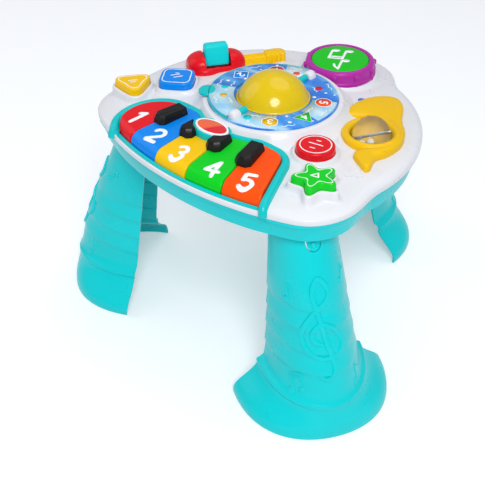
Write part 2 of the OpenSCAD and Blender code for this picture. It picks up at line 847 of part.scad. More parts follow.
// Black keys straddle the gaps; their backs butt against the skirt of the frame.
black_front = -112;
black_shift = 5;
black_chamfer = 4;
module black_outline(grow) {
    c = black_chamfer;
    w = black_w / 2 + grow;
    polygon([[-w, 0], [w, 0], [w, -black_l + c - grow], [w - c, -black_l - grow],
        [c - w, -black_l - grow], [-w, -black_l + c - grow]]);
}
module black_key(i) {
    back = black_front + black_l;
    base = key_top(front_cy - back) - 2;
    color(BLACK) difference() {
        intersection() {
            translate([key_x(i + 0.5, back) + black_shift, back, 0]) rotate(key_angle(i + 0.5)) union() {
                translate([0, 0, base - 6]) linear_extrude(8 + black_h - 2.5) black_outline(0);
                translate([0, 0, base - 6]) linear_extrude(8 + black_h) black_outline(-2.5);
            }
            translate([0, 0, part_z]) linear_extrude(90) difference() {
                key_region(-tube_w / 2 - 0.02);
                badge_outline(badge_rim + 0.02);
            }
        }
        translate([0, 0, side_gap]) key_clear();
    }
}
// Everything below the key tops, as one solid of revolution.
module key_clear() {
    translate([0, front_cy, 0]) rotate_extrude($fn = 240)
        polygon([[0, 0], [front_r, 0], [front_r, key_top(front_r)], [0, key_top(0)]]);
}

module mode_button() {
    color(RED) {
        translate([0, 0, badge_lip - side_gap - flange_t])
            linear_extrude(badge_top + 1 - badge_lip + side_gap + flange_t) badge_outline(0);
        translate([0, 0, badge_lip - side_gap - flange_t]) linear_extrude(flange_t)
            badge_outline(1);
    }
}

// ---------- page disc ----------
module page_base() {
    color(BLUE) difference() {
        translate([0, disc_y, disc_top - disc_t]) cylinder(h = disc_t, r = disc_r);
        translate([0, disc_y, disc_top - 2 * disc_t])
            cylinder(h = 4 * disc_t, r = dome_flange_r + side_gap);
        page_ends() {
            translate([-boss_w / 2 - side_gap, barrel_to, disc_top - 2 * disc_t])
                cube([boss_w + 2 * side_gap, boss_to + side_gap - barrel_to, 4 * disc_t]);
            translate([-page_barrel_r - 1, 0, disc_top - 2 * disc_t])
                cube([2 * page_barrel_r + 2, barrel_to + side_gap, 4 * disc_t]);
        }
    }
}

module page_flap() {
    color(TEAL) difference() {
        union() {
            translate([0, disc_y, page_z]) difference() {
                union() {
                    cylinder(h = page_t, r = disc_r);
                    rotate(page_tab_angle) translate([page_tab_at, 0, 0])
                        cylinder(h = page_t, r = page_tab_r);
                }
                translate([-side_gap, -2 * disc_r, -1]) cube([2 * disc_r, 4 * disc_r, 3 * page_t]);
                translate([0, 0, -1]) cylinder(h = 3 * page_t, r = page_in_r);
                for (s = [-1, 1])
                    translate([-boss_w / 2 - boss_clear, s > 0 ? barrel_to : -2 * disc_r, -1])
                        cube([boss_w, 2 * disc_r - barrel_to, 3 * page_t]);
            }
            page_ends() translate([0, barrel_from, page_axis_z]) rotate([-90, 0, 0])
                cylinder(h = barrel_to - barrel_from, r = page_barrel_r);
        }
        page_ends() translate([0, 0, page_axis_z]) rotate([-90, 0, 0])
            cylinder(h = boss_to, r = page_pin_r + run_gap);
    }
}

module page_pins() {
    color(STEEL) page_ends() translate([0, barrel_from + 1, page_axis_z]) rotate([-90, 0, 0])
        cylinder(h = boss_to - barrel_from - 4, r = page_pin_r);
}

module light_dome() {
    color(YELLOW) difference() {
        union() {
            intersection() {
                translate([0, disc_y, dome_centre_z]) sphere(r = dome_sphere_r);
                translate([0, disc_y, disc_top - disc_t])
                    cylinder(h = dome_rise + disc_t + 1, r = dome_r);
            }
            translate([0, disc_y, disc_top - disc_t]) cylinder(h = disc_t, r = dome_flange_r);
        }
        translate([0, disc_y, dome_centre_z]) sphere(r = dome_sphere_r - dome_t);
    }
}

// ---------- drum ----------
drum_flange_z = drum_top - drum_lip - side_gap;
module drum_ring() {
    color(PURPLE) translate([0, drum_y, 0]) difference() {
        union() {
            rotate_extrude() polygon([[20, drum_seat_z], [drum_ring_r + 1.5, drum_seat_z],
                [drum_ring_r + 1.5, drum_seat_z + 4], [drum_ring_r, drum_seat_z + 5],
                [drum_ring_r, drum_top - 4], [drum_ring_r - 3.5, drum_top + 0.5],
                [20, drum_top + 0.5]]);
            for (i = [0:drum_lugs - 1]) rotate(i * 360 / drum_lugs + 12)
                translate([drum_ring_r, 0, drum_seat_z]) {
                    cylinder(h = drum_top - drum_seat_z - 7, r = 2.2, $fn = 32);
                    translate([0, 0, drum_top - drum_seat_z - 6]) sphere(r = 3, $fn = 32);
                }
        }
        translate([0, 0, drum_seat_z - 1])
            cylinder(h = drum_flange_z - drum_seat_z + 1 + side_gap,
                r = drum_head_r + drum_flange_out + side_gap);
        cylinder(h = 2 * drum_top, r = drum_head_r + side_gap);
    }
}

module drum_head() {
    color(GREEN) translate([0, drum_y, 0]) {
        translate([0, 0, drum_flange_z - drum_flange_t])
            cylinder(h = drum_flange_t, r = drum_head_r + drum_flange_out);
        translate([0, 0, drum_flange_z - drum_flange_t])
            cylinder(h = drum_top - drum_flange_z + drum_flange_t, r = drum_head_r);
        translate([0, 0, stem_bottom])
            cylinder(h = drum_flange_z - drum_flange_t - stem_bottom + 1, r = drum_stem_r);
    }
}

// ---------- guitar ----------
module at_guitar() translate([guitar_x, guitar_y, 0]) rotate(guitar_angle) children();

module guitar_outline() {
    translate([-guitar_half + guitar_w, 0]) circle(r = guitar_w);
    translate([guitar_half - guitar_w + 4, 0]) circle(r = guitar_w - 4);
    translate([-guitar_half + guitar_w, -guitar_w + 3])
        square([2 * guitar_half - 2 * guitar_w + 4, 2 * guitar_w - 6]);
}

module guitar_body() {
    color(RED) difference() {
        at_guitar() difference() {
            union() {
                translate([0, 0, part_z]) linear_extrude(guitar_base_z - part_z) guitar_outline();
                intersection() {
                    translate([0, 0, part_z]) linear_extrude(2 * crown_h) guitar_outline();
                    translate([-guitar_half, 0, guitar_top - guitar_round_r]) rotate([0, 90, 0])
                        cylinder(h = 2 * guitar_half, r = guitar_round_r);
                }
            }
            translate([-paddle_w / 2 - side_gap, -2 * guitar_w, guitar_base_z])
                cube([paddle_w + 2 * side_gap, 4 * guitar_w, crown_h]);
            translate([-paddle_w / 2 - side_gap, -paddle_foot - 2.5, part_z])
                cube([paddle_w + 2 * side_gap, 2 * paddle_foot + 5, 2 * crown_h]);
            translate([-strum_rod_l / 2, 0, strum_z]) rotate([0, 90, 0])
                cylinder(h = strum_rod_l, r = strum_rod_r + run_gap);
            translate([neck_from - eps, -neck_half, part_z]) cube([crown_h, 2 * neck_half, 2 * crown_h]);
        }
        under_crown(0);
    }
}

module guitar_neck() {
    color(YELLOW) difference() {
        at_guitar() {
            translate([neck_from, -neck_half, part_z])
                cube([neck_to - neck_from, 2 * neck_half, neck_top - part_z]);
            translate([0, 0, part_z]) linear_extrude(head_top - part_z) {
                translate([neck_to - eps, -head_half + 2])
                    square([head_to - neck_to - 6, 2 * head_half - 4]);
                translate([head_to - 7, 0]) circle(r = 7);
                for (s = [-1, 1]) for (x = [neck_to + 4, neck_to + 11, neck_to + 18])
                    translate([x, s * (head_half - 2)]) circle(r = 3.2);
            }
        }
        under_crown(0);
    }
}

module strum_paddle() {
    color(TEAL) at_guitar() difference() {
        translate([-paddle_w / 2, 0, strum_z]) rotate([90, 0, 90]) linear_extrude(paddle_w) {
            circle(r = paddle_hub);
            polygon([[-paddle_foot, 3], [-paddle_head, paddle_h - 2], [-paddle_head + 2, paddle_h],
                [paddle_head - 2, paddle_h], [paddle_head, paddle_h - 2], [paddle_foot, 3],
                [paddle_hub / 2, -paddle_hub / 2], [-paddle_hub / 2, -paddle_hub / 2]]);
        }
        translate([-paddle_w, 0, strum_z]) rotate([0, 90, 0])
            cylinder(h = 2 * paddle_w, r = strum_rod_r + run_gap);
    }
}

module strum_rod() {
    color(STEEL) at_guitar() translate([-strum_rod_l / 2 + 0.5, 0, strum_z]) rotate([0, 90, 0])
        cylinder(h = strum_rod_l - 1, r = strum_rod_r);
}

// ---------- horn ----------
module horn_outline() {
    // Bell, neck along the right of the coil, and mouthpiece, about the middle of the coil.
    polygon([[-44, 15], [-50, 25], [-52, 40], [-49, 56], [-40, 72], [-30, 80], [-20, 80],
        [-8, 70], [-2, 60], [-2, 50], [12, 37], [0, 20], [-22, 24]]);
    polygon([[12, 37], [24, 26], [33, 10], [35, -6], [34, -20], [28, -34], [10, -28], [20, 0], [0, 20]]);
    polygon([[34, -20], [29, -36], [37, -52], [35, -57], [11, -46], [8, -39], [10, -30]]);
}

module horn() {
    color(YELLOW) translate([ball_x, ball_y, 0]) difference() {
        union() {
            difference() {
                translate([0, 0, part_z]) linear_extrude(horn_top - part_z - 2.5) horn_outline();
                cylinder(h = 2 * part_z, r = coil_r + horn_tube / 2);
            }
            rotate_extrude() {
                translate([coil_r, part_z]) square([horn_tube, horn_top - part_z - horn_tube / 2]);
                translate([coil_r + horn_tube / 2, horn_top - horn_tube / 2]) circle(r = horn_tube / 2);
            }
        }
        translate([-ball_x, -ball_y, 0]) under_crown(0);
        // The bell leans against the cone of the disc's seat.
        translate([-ball_x, -ball_y, 0]) difference() {
            seat_cone(-side_gap);
            seat_neighbours();
        }
        translate([0, 0, ball_z]) rotate([0, 0, ball_axis]) rotate([0, 90, 0])
            translate([0, 0, -ball_rod_l / 2]) cylinder(h = ball_rod_l, r = ball_rod_r + run_gap);
    }
}

module at_ball() translate([ball_x, ball_y, ball_z]) rotate([0, 0, ball_axis]) children();

module rattle_ball() {
    color([0.85, 0.9, 0.95, 0.35]) at_ball() rotate([0, 90, 0]) rotate_extrude() intersection() {
        union() {
            difference() {
                circle(r = ball_r);
                circle(r = ball_r - ball_t);
            }
            translate([0, ball_t / 2 - ball_r]) square([ball_hub_r, 2 * ball_r - ball_t]);
        }
        translate([ball_rod_r + run_gap, -2 * ball_r]) square([2 * ball_r, 4 * ball_r]);
    }
}

module rattle_beads() {
    reach = ball_r - ball_t - rattle_bead_r - 0.1;
    color(WHITE) at_ball() for (i = [0:beads - 1])
        rotate([(i % 3 - 1) * 32, 0, 0]) rotate([0, i < 3 ? 16 : -16, 0])
            translate([0, 0, -reach]) sphere(r = rattle_bead_r, $fn = 32);
}

module rattle_rod() {
    color(STEEL) at_ball() rotate([0, 90, 0]) translate([0, 0, -ball_rod_l / 2 + 0.5])
        cylinder(h = ball_rod_l - 1, r = ball_rod_r);
}

// ---------- buttons ----------
module button(k, colour) {
    b = BUTTONS[k];
    color(colour) translate([b[1], b[2], 0]) {
        translate([0, 0, well_z - side_gap - flange_t])
            linear_extrude(button_top - 2 - well_z + side_gap + flange_t) button_outline(b[0], 0);
        translate([0, 0, button_top - 2 - eps]) linear_extrude(2 + eps) button_outline(b[0], -1.5);
        translate([0, 0, well_z - side_gap - flange_t]) linear_extrude(flange_t)
            button_outline(b[0], flange_out);
        translate([0, 0, stem_bottom]) cylinder(h = 5, r = 4);
    }
}

// ---------- inside ----------
module switch_places() {
    for (b = BUTTONS) translate([b[1], b[2], 0]) children();
    translate([0, drum_y, 0]) children();
}

module switches() {
    color(BLACK) {
        switch_places() translate([0, 0, post_top]) {
            cylinder(h = switch_h, r = switch_r);
            cylinder(h = switch_h + plunger_h, r = plunger_r);
        }
        translate([badge_x, badge_y, badge_floor]) {
            cylinder(h = 2, r = switch_r);
            cylinder(h = badge_lip - side_gap - flange_t - badge_travel - side_gap - badge_floor,
                r = plunger_r);
        }
    }
}

module key_board() {
    from = key_x(0, key_board_y) - key_board_end;
    to = key_x(keys - 1, key_board_y) + key_board_end;
    color(BOARD) translate([from, key_board_y - key_board_d / 2, key_board_z])
        cube([to - from, key_board_d, board_t]);
}

module key_domes() {
    color(WHITE) for (i = [0:keys - 1])
        translate([key_x(i, key_board_y), key_board_y, key_board_z + board_t])
            cylinder(h = dome_h, r1 = 4, r2 = 2.5);
}

module main_board() {
    color(BOARD) translate([-board_x / 2, -board_y / 2, board_z]) cube([board_x, board_y, board_t]);
}

module main_board_parts() {
    color(BLACK) translate([0, 0, board_z + board_t]) {
        translate([-8, -8, 0]) cube([16, 16, 1.6]);
        translate([20, -18, 0]) cube([10, 6, 1.6]);
        for (x = [-30, -22, 36]) translate([x, 14, 0]) cylinder(h = 8, r = 3);
        translate([-46, -24, 0]) cube([8, 18, 6]);
    }
}

led_board_r = light_hole_r + 4;
led_board_z = seat_z - seat_depth - wall - side_gap - board_t;
module led_board() {
    color(BOARD) translate([0, disc_y, led_board_z]) cylinder(h = board_t, r = led_board_r);
}

module leds() {
    color(YELLOW) for (i = [0:2]) translate([0, disc_y, led_board_z + board_t])
        rotate(i * 120) translate([16, 0, 0]) {
            cylinder(h = 4, r = 2.5);
            translate([0, 0, 4]) sphere(r = 2.5, $fn = 32);
        }
}

module speaker() {
    color(BLACK) translate([0, speaker_y, floor_z]) {
        cylinder(h = 3, r = speaker_r);
        cylinder(h = speaker_h, r1 = speaker_r - 2, r2 = 9);
    }
}

module battery_box() {
    color(BLACK) translate([0, 0, floor_z]) difference() {
        translate([-box_x / 2, -box_y / 2, 0]) cube([box_x, box_y, box_h]);
        translate([-box_x / 2 + box_t, -box_y / 2 + box_t, -1])
            cube([box_x - 2 * box_t, box_y - 2 * box_t, box_h + 1 - box_t]);
    }
}

module battery_door() {
    color(TEAL) translate([-box_x / 2 + 2 + side_gap, -box_y / 2 + 2 + side_gap, apron_z])
        cube([box_x - 4 - 2 * side_gap, box_y - 4 - 2 * side_gap, wall - 0.4]);
}

battery_z = floor_z + 0.2 + battery_r;
module batteries() {
    color(STEEL) for (i = [0:cells - 1])
        translate([-battery_l / 2, (i - (cells - 1) / 2) * (2 * battery_r + battery_gap), battery_z])
            rotate([0, 90, 0]) {
                cylinder(h = battery_l - 1.5, r = battery_r);
                cylinder(h = battery_l, r = 2.8);
            }
}

module battery_contacts() {
    plate = 0.6;
    room = box_x / 2 - box_t - battery_l / 2;
    color(STEEL) for (s = [-1, 1]) for (i = [0:cells - 1])
        translate([s * (box_x / 2 - box_t - plate / 2),
            (i - (cells - 1) / 2) * (2 * battery_r + battery_gap), battery_z]) {
            cube([plate, 11, 11], center = true);
            rotate([0, -s * 90, 0]) cylinder(h = room - plate / 2 - 0.2, r1 = 4.5, r2 = 2.5);
        }
}

module shell_screws() {
    color(STEEL) screw_places() {
        translate([0, 0, screw_seat_z - screw_head_h]) cylinder(h = screw_head_h, r = screw_head_r);
        translate([0, 0, screw_seat_z - eps]) cylinder(h = screw_joint_z - screw_seat_z + 7, r = screw_r);
    }
}

module power_slider() {
    color(BLACK) translate([slider_x, slider_y, 0]) {
        translate([-slider_w / 2, -slider_d / 2, apron_z - 1.5]) cube([slider_w, slider_d, wall + 2]);
        translate([-slider_w / 2 - 3, -slider_d / 2 - 3, floor_z + 0.2])
            cube([slider_w + 6, slider_d + 6, 2]);
    }
}

module place() translate([0, -box_shift, 0]) children();

place() top_shell();
place() base_shell();
place() leg(LEG_ANGLES[0]);  // leg_front_right
place() leg(LEG_ANGLES[1]);  // leg_front_left
place() leg(LEG_ANGLES[2]);  // leg_back
place() release_tab(LEG_ANGLES[0]);  // release_tab_front_right
place() release_tab(LEG_ANGLES[1]);  // release_tab_front_left
place() release_tab(LEG_ANGLES[2]);  // release_tab_back
place() keyboard_frame();
for (i = [0:4])
    place() key(i);
place() key_rod();
for (i = [0:3])
    place() black_key(i);
place() mode_button();
place() page_base();
place() page_flap();
place() page_pins();
place() light_dome();
place() drum_ring();
place() drum_head();
place() guitar_body();
place() guitar_neck();
place() strum_paddle();
place() strum_rod();
place() horn();
place() rattle_ball();
place() rattle_beads();
place() rattle_rod();
place() button(0, RED);  // button_circle
place() button(1, GREEN);  // button_star
place() button(2, BLUE);  // button_square
place() button(3, YELLOW);  // button_triangle
place() key_board();
place() key_domes();
place() main_board();
place() main_board_parts();
place() led_board();
place() leds();
place() switches();
place() speaker();
place() battery_box();
place() battery_door();
place() batteries();
place() battery_contacts();
place() shell_screws();
place() power_slider();
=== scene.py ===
"""Looks of the musical activity table: its visible surfaces, their finish, the floor, light and camera."""

import math

import bmesh
import bpy
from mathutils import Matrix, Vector
from mathutils.geometry import delaunay_2d_cdt


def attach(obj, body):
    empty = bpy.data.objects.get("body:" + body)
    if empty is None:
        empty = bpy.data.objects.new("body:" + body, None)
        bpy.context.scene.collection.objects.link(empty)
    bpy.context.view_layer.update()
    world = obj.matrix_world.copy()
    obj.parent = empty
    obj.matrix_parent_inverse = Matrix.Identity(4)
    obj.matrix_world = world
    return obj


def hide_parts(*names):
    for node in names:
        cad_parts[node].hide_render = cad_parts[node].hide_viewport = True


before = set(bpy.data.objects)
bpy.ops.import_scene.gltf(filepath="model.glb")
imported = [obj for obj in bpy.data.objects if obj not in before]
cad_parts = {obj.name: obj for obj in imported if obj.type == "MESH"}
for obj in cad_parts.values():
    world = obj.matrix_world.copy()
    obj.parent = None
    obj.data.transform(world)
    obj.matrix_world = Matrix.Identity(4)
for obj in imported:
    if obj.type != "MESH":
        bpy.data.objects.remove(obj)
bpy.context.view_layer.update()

# All shapes are written in millimetres about the table's axis; row() takes them to the model's frame.
MM = 0.001
BOX_SHIFT = 40.5


def row(p):
    """A point in the model's frame, in metres."""
    return (p[0] * MM, (p[1] - BOX_SHIFT) * MM, p[2] * MM)


# ---------- driving sizes, as in the construction ----------
PART_Z = 253.0
APRON_Z = 229.0
CROWN_Z = 274.0
CROWN_R = 1600.0
FRONT_R = 370.0
FRONT_CY = 210.0
LIP_Z = PART_Z + 5.5
SHOULDER = 10.0
DISC_Y = 5.6
DISC_R = 73.5
DISC_TOP = 286.0
SEAT_Z = 284.5
SEAT_TOP_R = 78.5
SEAT_FOOT_R = 92.5
SEAT_FOOT_Z = 266.0
PAGE_GAP = 0.3
PAGE_THICK = 2.6
PAGE_TOP = DISC_TOP + PAGE_GAP + PAGE_THICK
PAGE_AXIS_Z = DISC_TOP + PAGE_GAP + PAGE_THICK / 2
DOME_R = 40.5
DOME_RISE = 28.5
BUTTON_TOP = 283.0
PEDESTAL_Z = 275.0
WELL_Z = 262.0
DRUM = (0.0, 126.0)
DRUM_SEAT = 272.0
DRUM_TOP = 289.0
DRUM_HEAD_R = 34.2
DRUM_RING_R = 41.5
GUITAR = (-119.5, 34.0)
GUITAR_TURN = math.radians(58)
BALL = (118.0, 33.0, 272.0)
BALL_R = 21.0
COIL_R = 23.0
HORN_TUBE = 10.0
HORN_TOP = 277.5
LEG_ANGLES = {"front_right": -30, "front_left": -150, "back": 90}
BADGE = (-6.0, -86.0)
BADGE_A = 22.0
BADGE_B = 13.0
BADGE_RIM = 3.5

# Fan of the piano keys: their pitch where the fan's radius is KEY_FAN_R, and their gap to the edge.
KEY_PITCH = 47.0
KEY_FAN_R = 356.0
KEY_EDGE = 7.7
KEY_FAN = math.atan(KEY_PITCH / KEY_FAN_R)
KEY_TURN = math.radians(4)
KEY_RHO = FRONT_R - KEY_EDGE
FAN_X = -5 - KEY_FAN_R * math.sin(KEY_TURN)
FAN_Y = KEY_EDGE - 160 + KEY_FAN_R * math.cos(KEY_TURN)
KEY_FRONT_Z = PART_Z + 20
KEY_ROUND = 13.0
KEY_SLOPE = math.tan(math.radians(3.8))
REGION_BACK = -64.0
# Either side of the keyboard: corner radius, how far out its middle is, lean of the side.
KEY_SIDES = {-1: (45.0, 73.0, math.radians(-50)), 1: (24.0, 69.0, KEY_TURN + 2.5 * KEY_FAN)}
# The frame follows this circle round the disc, and leaves it this far either side of the middle.
DISC_CUT_R = 83.0
LEAVE_X = 45.2
TUBE_W = 9.5
TUBE_H = 6.5


# ---------- plan and mesh helpers ----------
def circle(steps):
    """Cosine and sine of equal steps once round."""
    return [(math.cos(2 * math.pi * k / steps), math.sin(2 * math.pi * k / steps)) for k in range(steps)]


def flat(z):
    """A level surface."""
    return lambda x, y: z


def between(a, b, share):
    """The point that lies a share of the way from a to b."""
    return tuple(p + (q - p) * share for p, q in zip(a, b))


def divided(points, steps):
    """A line's points with equal stretches between neighbours, its end included."""
    out = []
    for a, b in zip(points, points[1:]):
        out += [between(a, b, k / steps) for k in range(steps)]
    return out + [tuple(points[-1])]


def turned(at, points, angle):
    """Points about the origin, turned in plan and moved to a place."""
    c, s = math.cos(angle), math.sin(angle)
    return [(at[0] + p[0] * c - p[1] * s, at[1] + p[0] * s + p[1] * c) + tuple(p[2:]) for p in points]


def arc(cx, cy, r, start, end, steps):
    """Points of a circle between two angles in degrees, both ends included."""
    angles = [math.radians(start + (end - start) * k / steps) for k in range(steps + 1)]
    return [(cx + r * math.cos(a), cy + r * math.sin(a)) for a in angles]


def loft(rings, wrap=True, first=False, last=False):
    """Skin through rings of as many points each; first and last close the ends."""
    n = len(rings[0])
    assert all(len(ring) == n for ring in rings)
    verts = [p for ring in rings for p in ring]
    faces = []
    for i in range(len(rings) - 1):
        for j in range(n if wrap else n - 1):
            a = i * n + j
            b = i * n + (j + 1) % n
            faces.append((a, b, b + n, a + n))
    if first:
        faces.append(tuple(range(n - 1, -1, -1)))
    if last:
        faces.append(tuple((len(rings) - 1) * n + j for j in range(n)))
    return verts, faces


def solid_loft(rings):
    """Closed skin through rings, with both ends closed."""
    return loft(rings, True, True, True)


def join(*parts):
    """Several shapes as one."""
    verts, faces = [], []
    for part_verts, part_faces in parts:
        start = len(verts)
        verts += part_verts
        faces += [tuple(i + start for i in face) for face in part_faces]
    return verts, faces


def revolve(profile, cx, cy, steps=96, first=False, last=False):
    """Skin of a profile of radii and heights turned about an upright axis."""
    rings = [[(cx + r * c, cy + r * s, z) for c, s in circle(steps)] for r, z in profile]
    return loft(rings, True, first, last)


def smooth_loop(points, per=6, closed=True):
    """Catmull-Rom curve through the points."""
    n = len(points)
    out = []
    for i in range(n if closed else n - 1):
        near = [points[(i + k) % n] if closed else points[min(max(i + k, 0), n - 1)] for k in (-1, 0, 1, 2)]
        for s in range(per):
            t = s / per
            out.append(tuple(
                0.5 * (2 * b + (c - a) * t + (2 * a - 5 * b + 4 * c - d) * t * t
                       + (3 * b - a - 3 * c + d) * t ** 3) for a, b, c, d in zip(*near)))
    if not closed:
        out.append(tuple(points[-1]))
    return out


def inset_loop(loop, d):
    """A closed plan outline moved inwards by d along its own normals."""
    n = len(loop)
    area = sum(loop[i][0] * loop[(i + 1) % n][1] - loop[(i + 1) % n][0] * loop[i][1] for i in range(n))
    sign = 1 if area > 0 else -1
    out = []
    for i in range(n):
        tx = loop[(i + 1) % n][0] - loop[i - 1][0]
        ty = loop[(i + 1) % n][1] - loop[i - 1][1]
        size = math.hypot(tx, ty) or 1
        out.append((loop[i][0] - sign * d * ty / size, loop[i][1] + sign * d * tx / size))
    return out


def inside(loop, x, y, margin=0.0):
    """Whether a point lies in a closed outline, at least margin from its edge."""
    hit = False
    n = len(loop)
    for i in range(n):
        ax, ay = loop[i][:2]
        bx, by = loop[(i + 1) % n][:2]
        dx, dy = bx - ax, by - ay
        if (ay > y) != (by > y) and x < dx * (y - ay) / dy + ax:
            hit = not hit
        if margin:
            share = ((x - ax) * dx + (y - ay) * dy) / (dx * dx + dy * dy + 1e-9)
            share = max(0, min(1, share))
            if math.hypot(x - ax - share * dx, y - ay - share * dy) < margin:
                return False
    return hit


def fill(loops, step=0, keep=None):
    """Triangles over the union of closed plan outlines, with a grid of inner points every step."""
    verts, faces = [], []
    for loop in loops:
        start = len(verts)
        verts += [Vector(p[:2]) for p in loop]
        faces.append(list(range(start, len(verts))))
    if step:
        xs = [v.x for v in verts]
        ys = [v.y for v in verts]
        y = min(ys) + step / 2
        while y < max(ys):
            x = min(xs) + step / 2
            while x < max(xs):
                if keep(x, y):
                    verts.append(Vector((x, y)))
                x += step
            y += step
    found = delaunay_2d_cdt(verts, [], faces, 1, 1e-4)
    points = [(v.x, v.y) for v in found[0]]
    kept = []
    for face in found[2]:
        x = sum(points[i][0] for i in face) / len(face)
        y = sum(points[i][1] for i in face) / len(face)
        if any(inside(loop, x, y) for loop in loops):
            kept.append(tuple(face))
    return points, kept


def pillow(loop, low, top, edge, step):
    """A moulded form over a plan outline: walls from low, a rounded edge, and a top along top(x, y)."""
    rings = []
    for inset, drop in ((0, None), (0, 1.0), (0.13, 0.5), (0.5, 0.13), (1.0, 0.0)):
        rings.append([(x, y, low if drop is None else top(x, y) - drop * edge)
                      for x, y in inset_loop(loop, inset * edge)])
    rim = [p[:2] for p in rings[-1]]
    verts, faces = fill([rim], step, lambda x, y: inside(rim, x, y, 1.5))
    return join(loft(rings, True, True, False), ([(x, y, top(x, y)) for x, y in verts], faces))


def sweep(path, ups, section):
    """A section of (across, up) points, or one for each point, carried along a path of 3D points."""
    rings = []
    n = len(path)
    for i in range(n):
        p = Vector(path[i])
        tangent = (Vector(path[min(i + 1, n - 1)]) - Vector(path[max(i - 1, 0)])).normalized()
        across = tangent.cross(Vector(ups[i])).normalized()
        up = across.cross(tangent)
        here = section[i] if isinstance(section[0][0], (list, tuple)) else section
        rings.append([tuple(p + across * a + up * b) for a, b in here])
    return solid_loft(rings)


def shade_smooth(mesh, angle):
    """Smooth shading, but for edges sharper than an angle in degrees."""
    for polygon in mesh.polygons:
        polygon.use_smooth = True
    mesh.set_sharp_from_angle(angle=math.radians(angle))


def make(name, shape, material, body="root", replaces=(), angle=38, bevel=0.0, solid=0.0):
    """A piece from its shape: merged, with outward normals, smooth where it is smooth."""
    mesh = bpy.data.meshes.new(name)
    mesh.from_pydata([row(v) for v in shape[0]], [], shape[1])
    work = bmesh.new()
    work.from_mesh(mesh)
    bmesh.ops.remove_doubles(work, verts=work.verts, dist=0.00002)
    bmesh.ops.dissolve_degenerate(work, edges=work.edges, dist=0.000005)
    bmesh.ops.recalc_face_normals(work, faces=work.faces)
    work.to_mesh(mesh)
    work.free()
    shade_smooth(mesh, angle)
    piece = bpy.data.objects.new(name, mesh)
    bpy.context.scene.collection.objects.link(piece)
    mesh.materials.append(MATERIALS[material])
    if solid:
        thick = piece.modifiers.new("thickness", "SOLIDIFY")
        thick.thickness = solid * MM
        thick.offset = -1
    if bevel:
        rounding = piece.modifiers.new("rounding", "BEVEL")
        rounding.width = bevel * MM
        rounding.segments = 3
        rounding.limit_method = "ANGLE"
        rounding.angle_limit = math.radians(30)
        rounding.harden_normals = True
    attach(piece, body)
    if replaces:
        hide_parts(*replaces)
    return piece


def cut(piece, cutter):
    """Takes the cutter's form out of a piece for good."""
    hole = piece.modifiers.new("hole", "BOOLEAN")
    hole.object = cutter
    hole.operation = "DIFFERENCE"
    hole.solver = "EXACT"
    seen = piece.evaluated_get(bpy.context.evaluated_depsgraph_get())
    result = bpy.data.meshes.new_from_object(seen)
    piece.modifiers.remove(hole)
    piece.data = result
    shade_smooth(result, 38)
    bpy.data.objects.remove(cutter)


# ---------- materials ----------
def linear(code):
    """Scene colour of a #RRGGBB screen colour."""
    parts = [int(code[i:i + 2], 16) / 255 for i in (1, 3, 5)]
    return tuple(c / 12.92 if c <= 0.04045 else ((c + 0.055) / 1.055) ** 2.4 for c in parts) + (1.0,)


def shade(colour, factor):
    """A lighter or darker colour."""
    return tuple(min(1.0, c * factor) for c in colour[:3]) + (1.0,)


def settings(node, values):
    """Sets a node's inputs by name."""
    for socket, value in values.items():
        node.inputs[socket].default_value = value


def node_material(name):
    """A material with its node tree, shader and coordinates."""
    material = bpy.data.materials.new(name)
    material.use_nodes = True
    tree = material.node_tree
    tree.nodes.clear()
    out = tree.nodes.new("ShaderNodeOutputMaterial")
    shader = tree.nodes.new("ShaderNodeBsdfPrincipled")
    tree.links.new(shader.outputs["BSDF"], out.inputs["Surface"])
    place = tree.nodes.new("ShaderNodeTexCoord")
    return material, tree, shader, place


def noise(tree, place, scale, detail, rough=0.5):
    """Noise in object coordinates."""
    texture = tree.nodes.new("ShaderNodeTexNoise")
    settings(texture, {"Scale": scale, "Detail": detail, "Roughness": rough})
    tree.links.new(place.outputs["Object"], texture.inputs["Vector"])
    return texture


def colour_ramp(tree, source, stops, shader):
    """Base colour that follows a source through colour stops."""
    colours = tree.nodes.new("ShaderNodeValToRGB")
    while len(colours.color_ramp.elements) < len(stops):
        colours.color_ramp.elements.new(0.5)
    for element, (at, colour) in zip(colours.color_ramp.elements, stops):
        element.position = at
        element.color = colour
    tree.links.new(source, colours.inputs["Fac"])
    tree.links.new(colours.outputs["Color"], shader.inputs["Base Color"])


def drift_between(tree, texture, shader, low, high):
    """Base colour that drifts between two colours."""
    colour_ramp(tree, texture.outputs["Fac"], [(0.3, low), (0.7, high)], shader)


def roughness_from(tree, texture, shader, low, high):
    """Roughness that varies between two values."""
    spread = tree.nodes.new("ShaderNodeMapRange")
    settings(spread, {"From Min": 0.3, "From Max": 0.7, "To Min": low, "To Max": high})
    tree.links.new(texture.outputs["Fac"], spread.inputs["Value"])
    tree.links.new(spread.outputs["Result"], shader.inputs["Roughness"])


def bump(tree, texture, shader, strength):
    """Fine relief of a moulded or printed skin."""
    node = tree.nodes.new("ShaderNodeBump")
    settings(node, {"Strength": strength, "Distance": 0.0002})
    tree.links.new(texture.outputs["Fac"], node.inputs["Height"])
    tree.links.new(node.outputs["Normal"], shader.inputs["Normal"])


def plastic(name, code, rough=(0.26, 0.32), coat=0.08, grain=0.01, spread=0.03):
    """Moulded plastic: faint colour drift, uneven polish and a fine skin from the mould."""
    material, tree, shader, place = node_material(name)
    colour = linear(code)
    drift = noise(tree, place, 14.0, 1.0)
    drift_between(tree, drift, shader, shade(colour, 1 - spread), shade(colour, 1 + spread))
    roughness_from(tree, noise(tree, place, 35.0, 2.0), shader, *rough)
    bump(tree, noise(tree, place, 420.0, 1.0), shader, grain)
    settings(shader, {"Specular IOR Level": 0.2, "Coat Weight": coat, "Coat Roughness": 0.12})
    return material


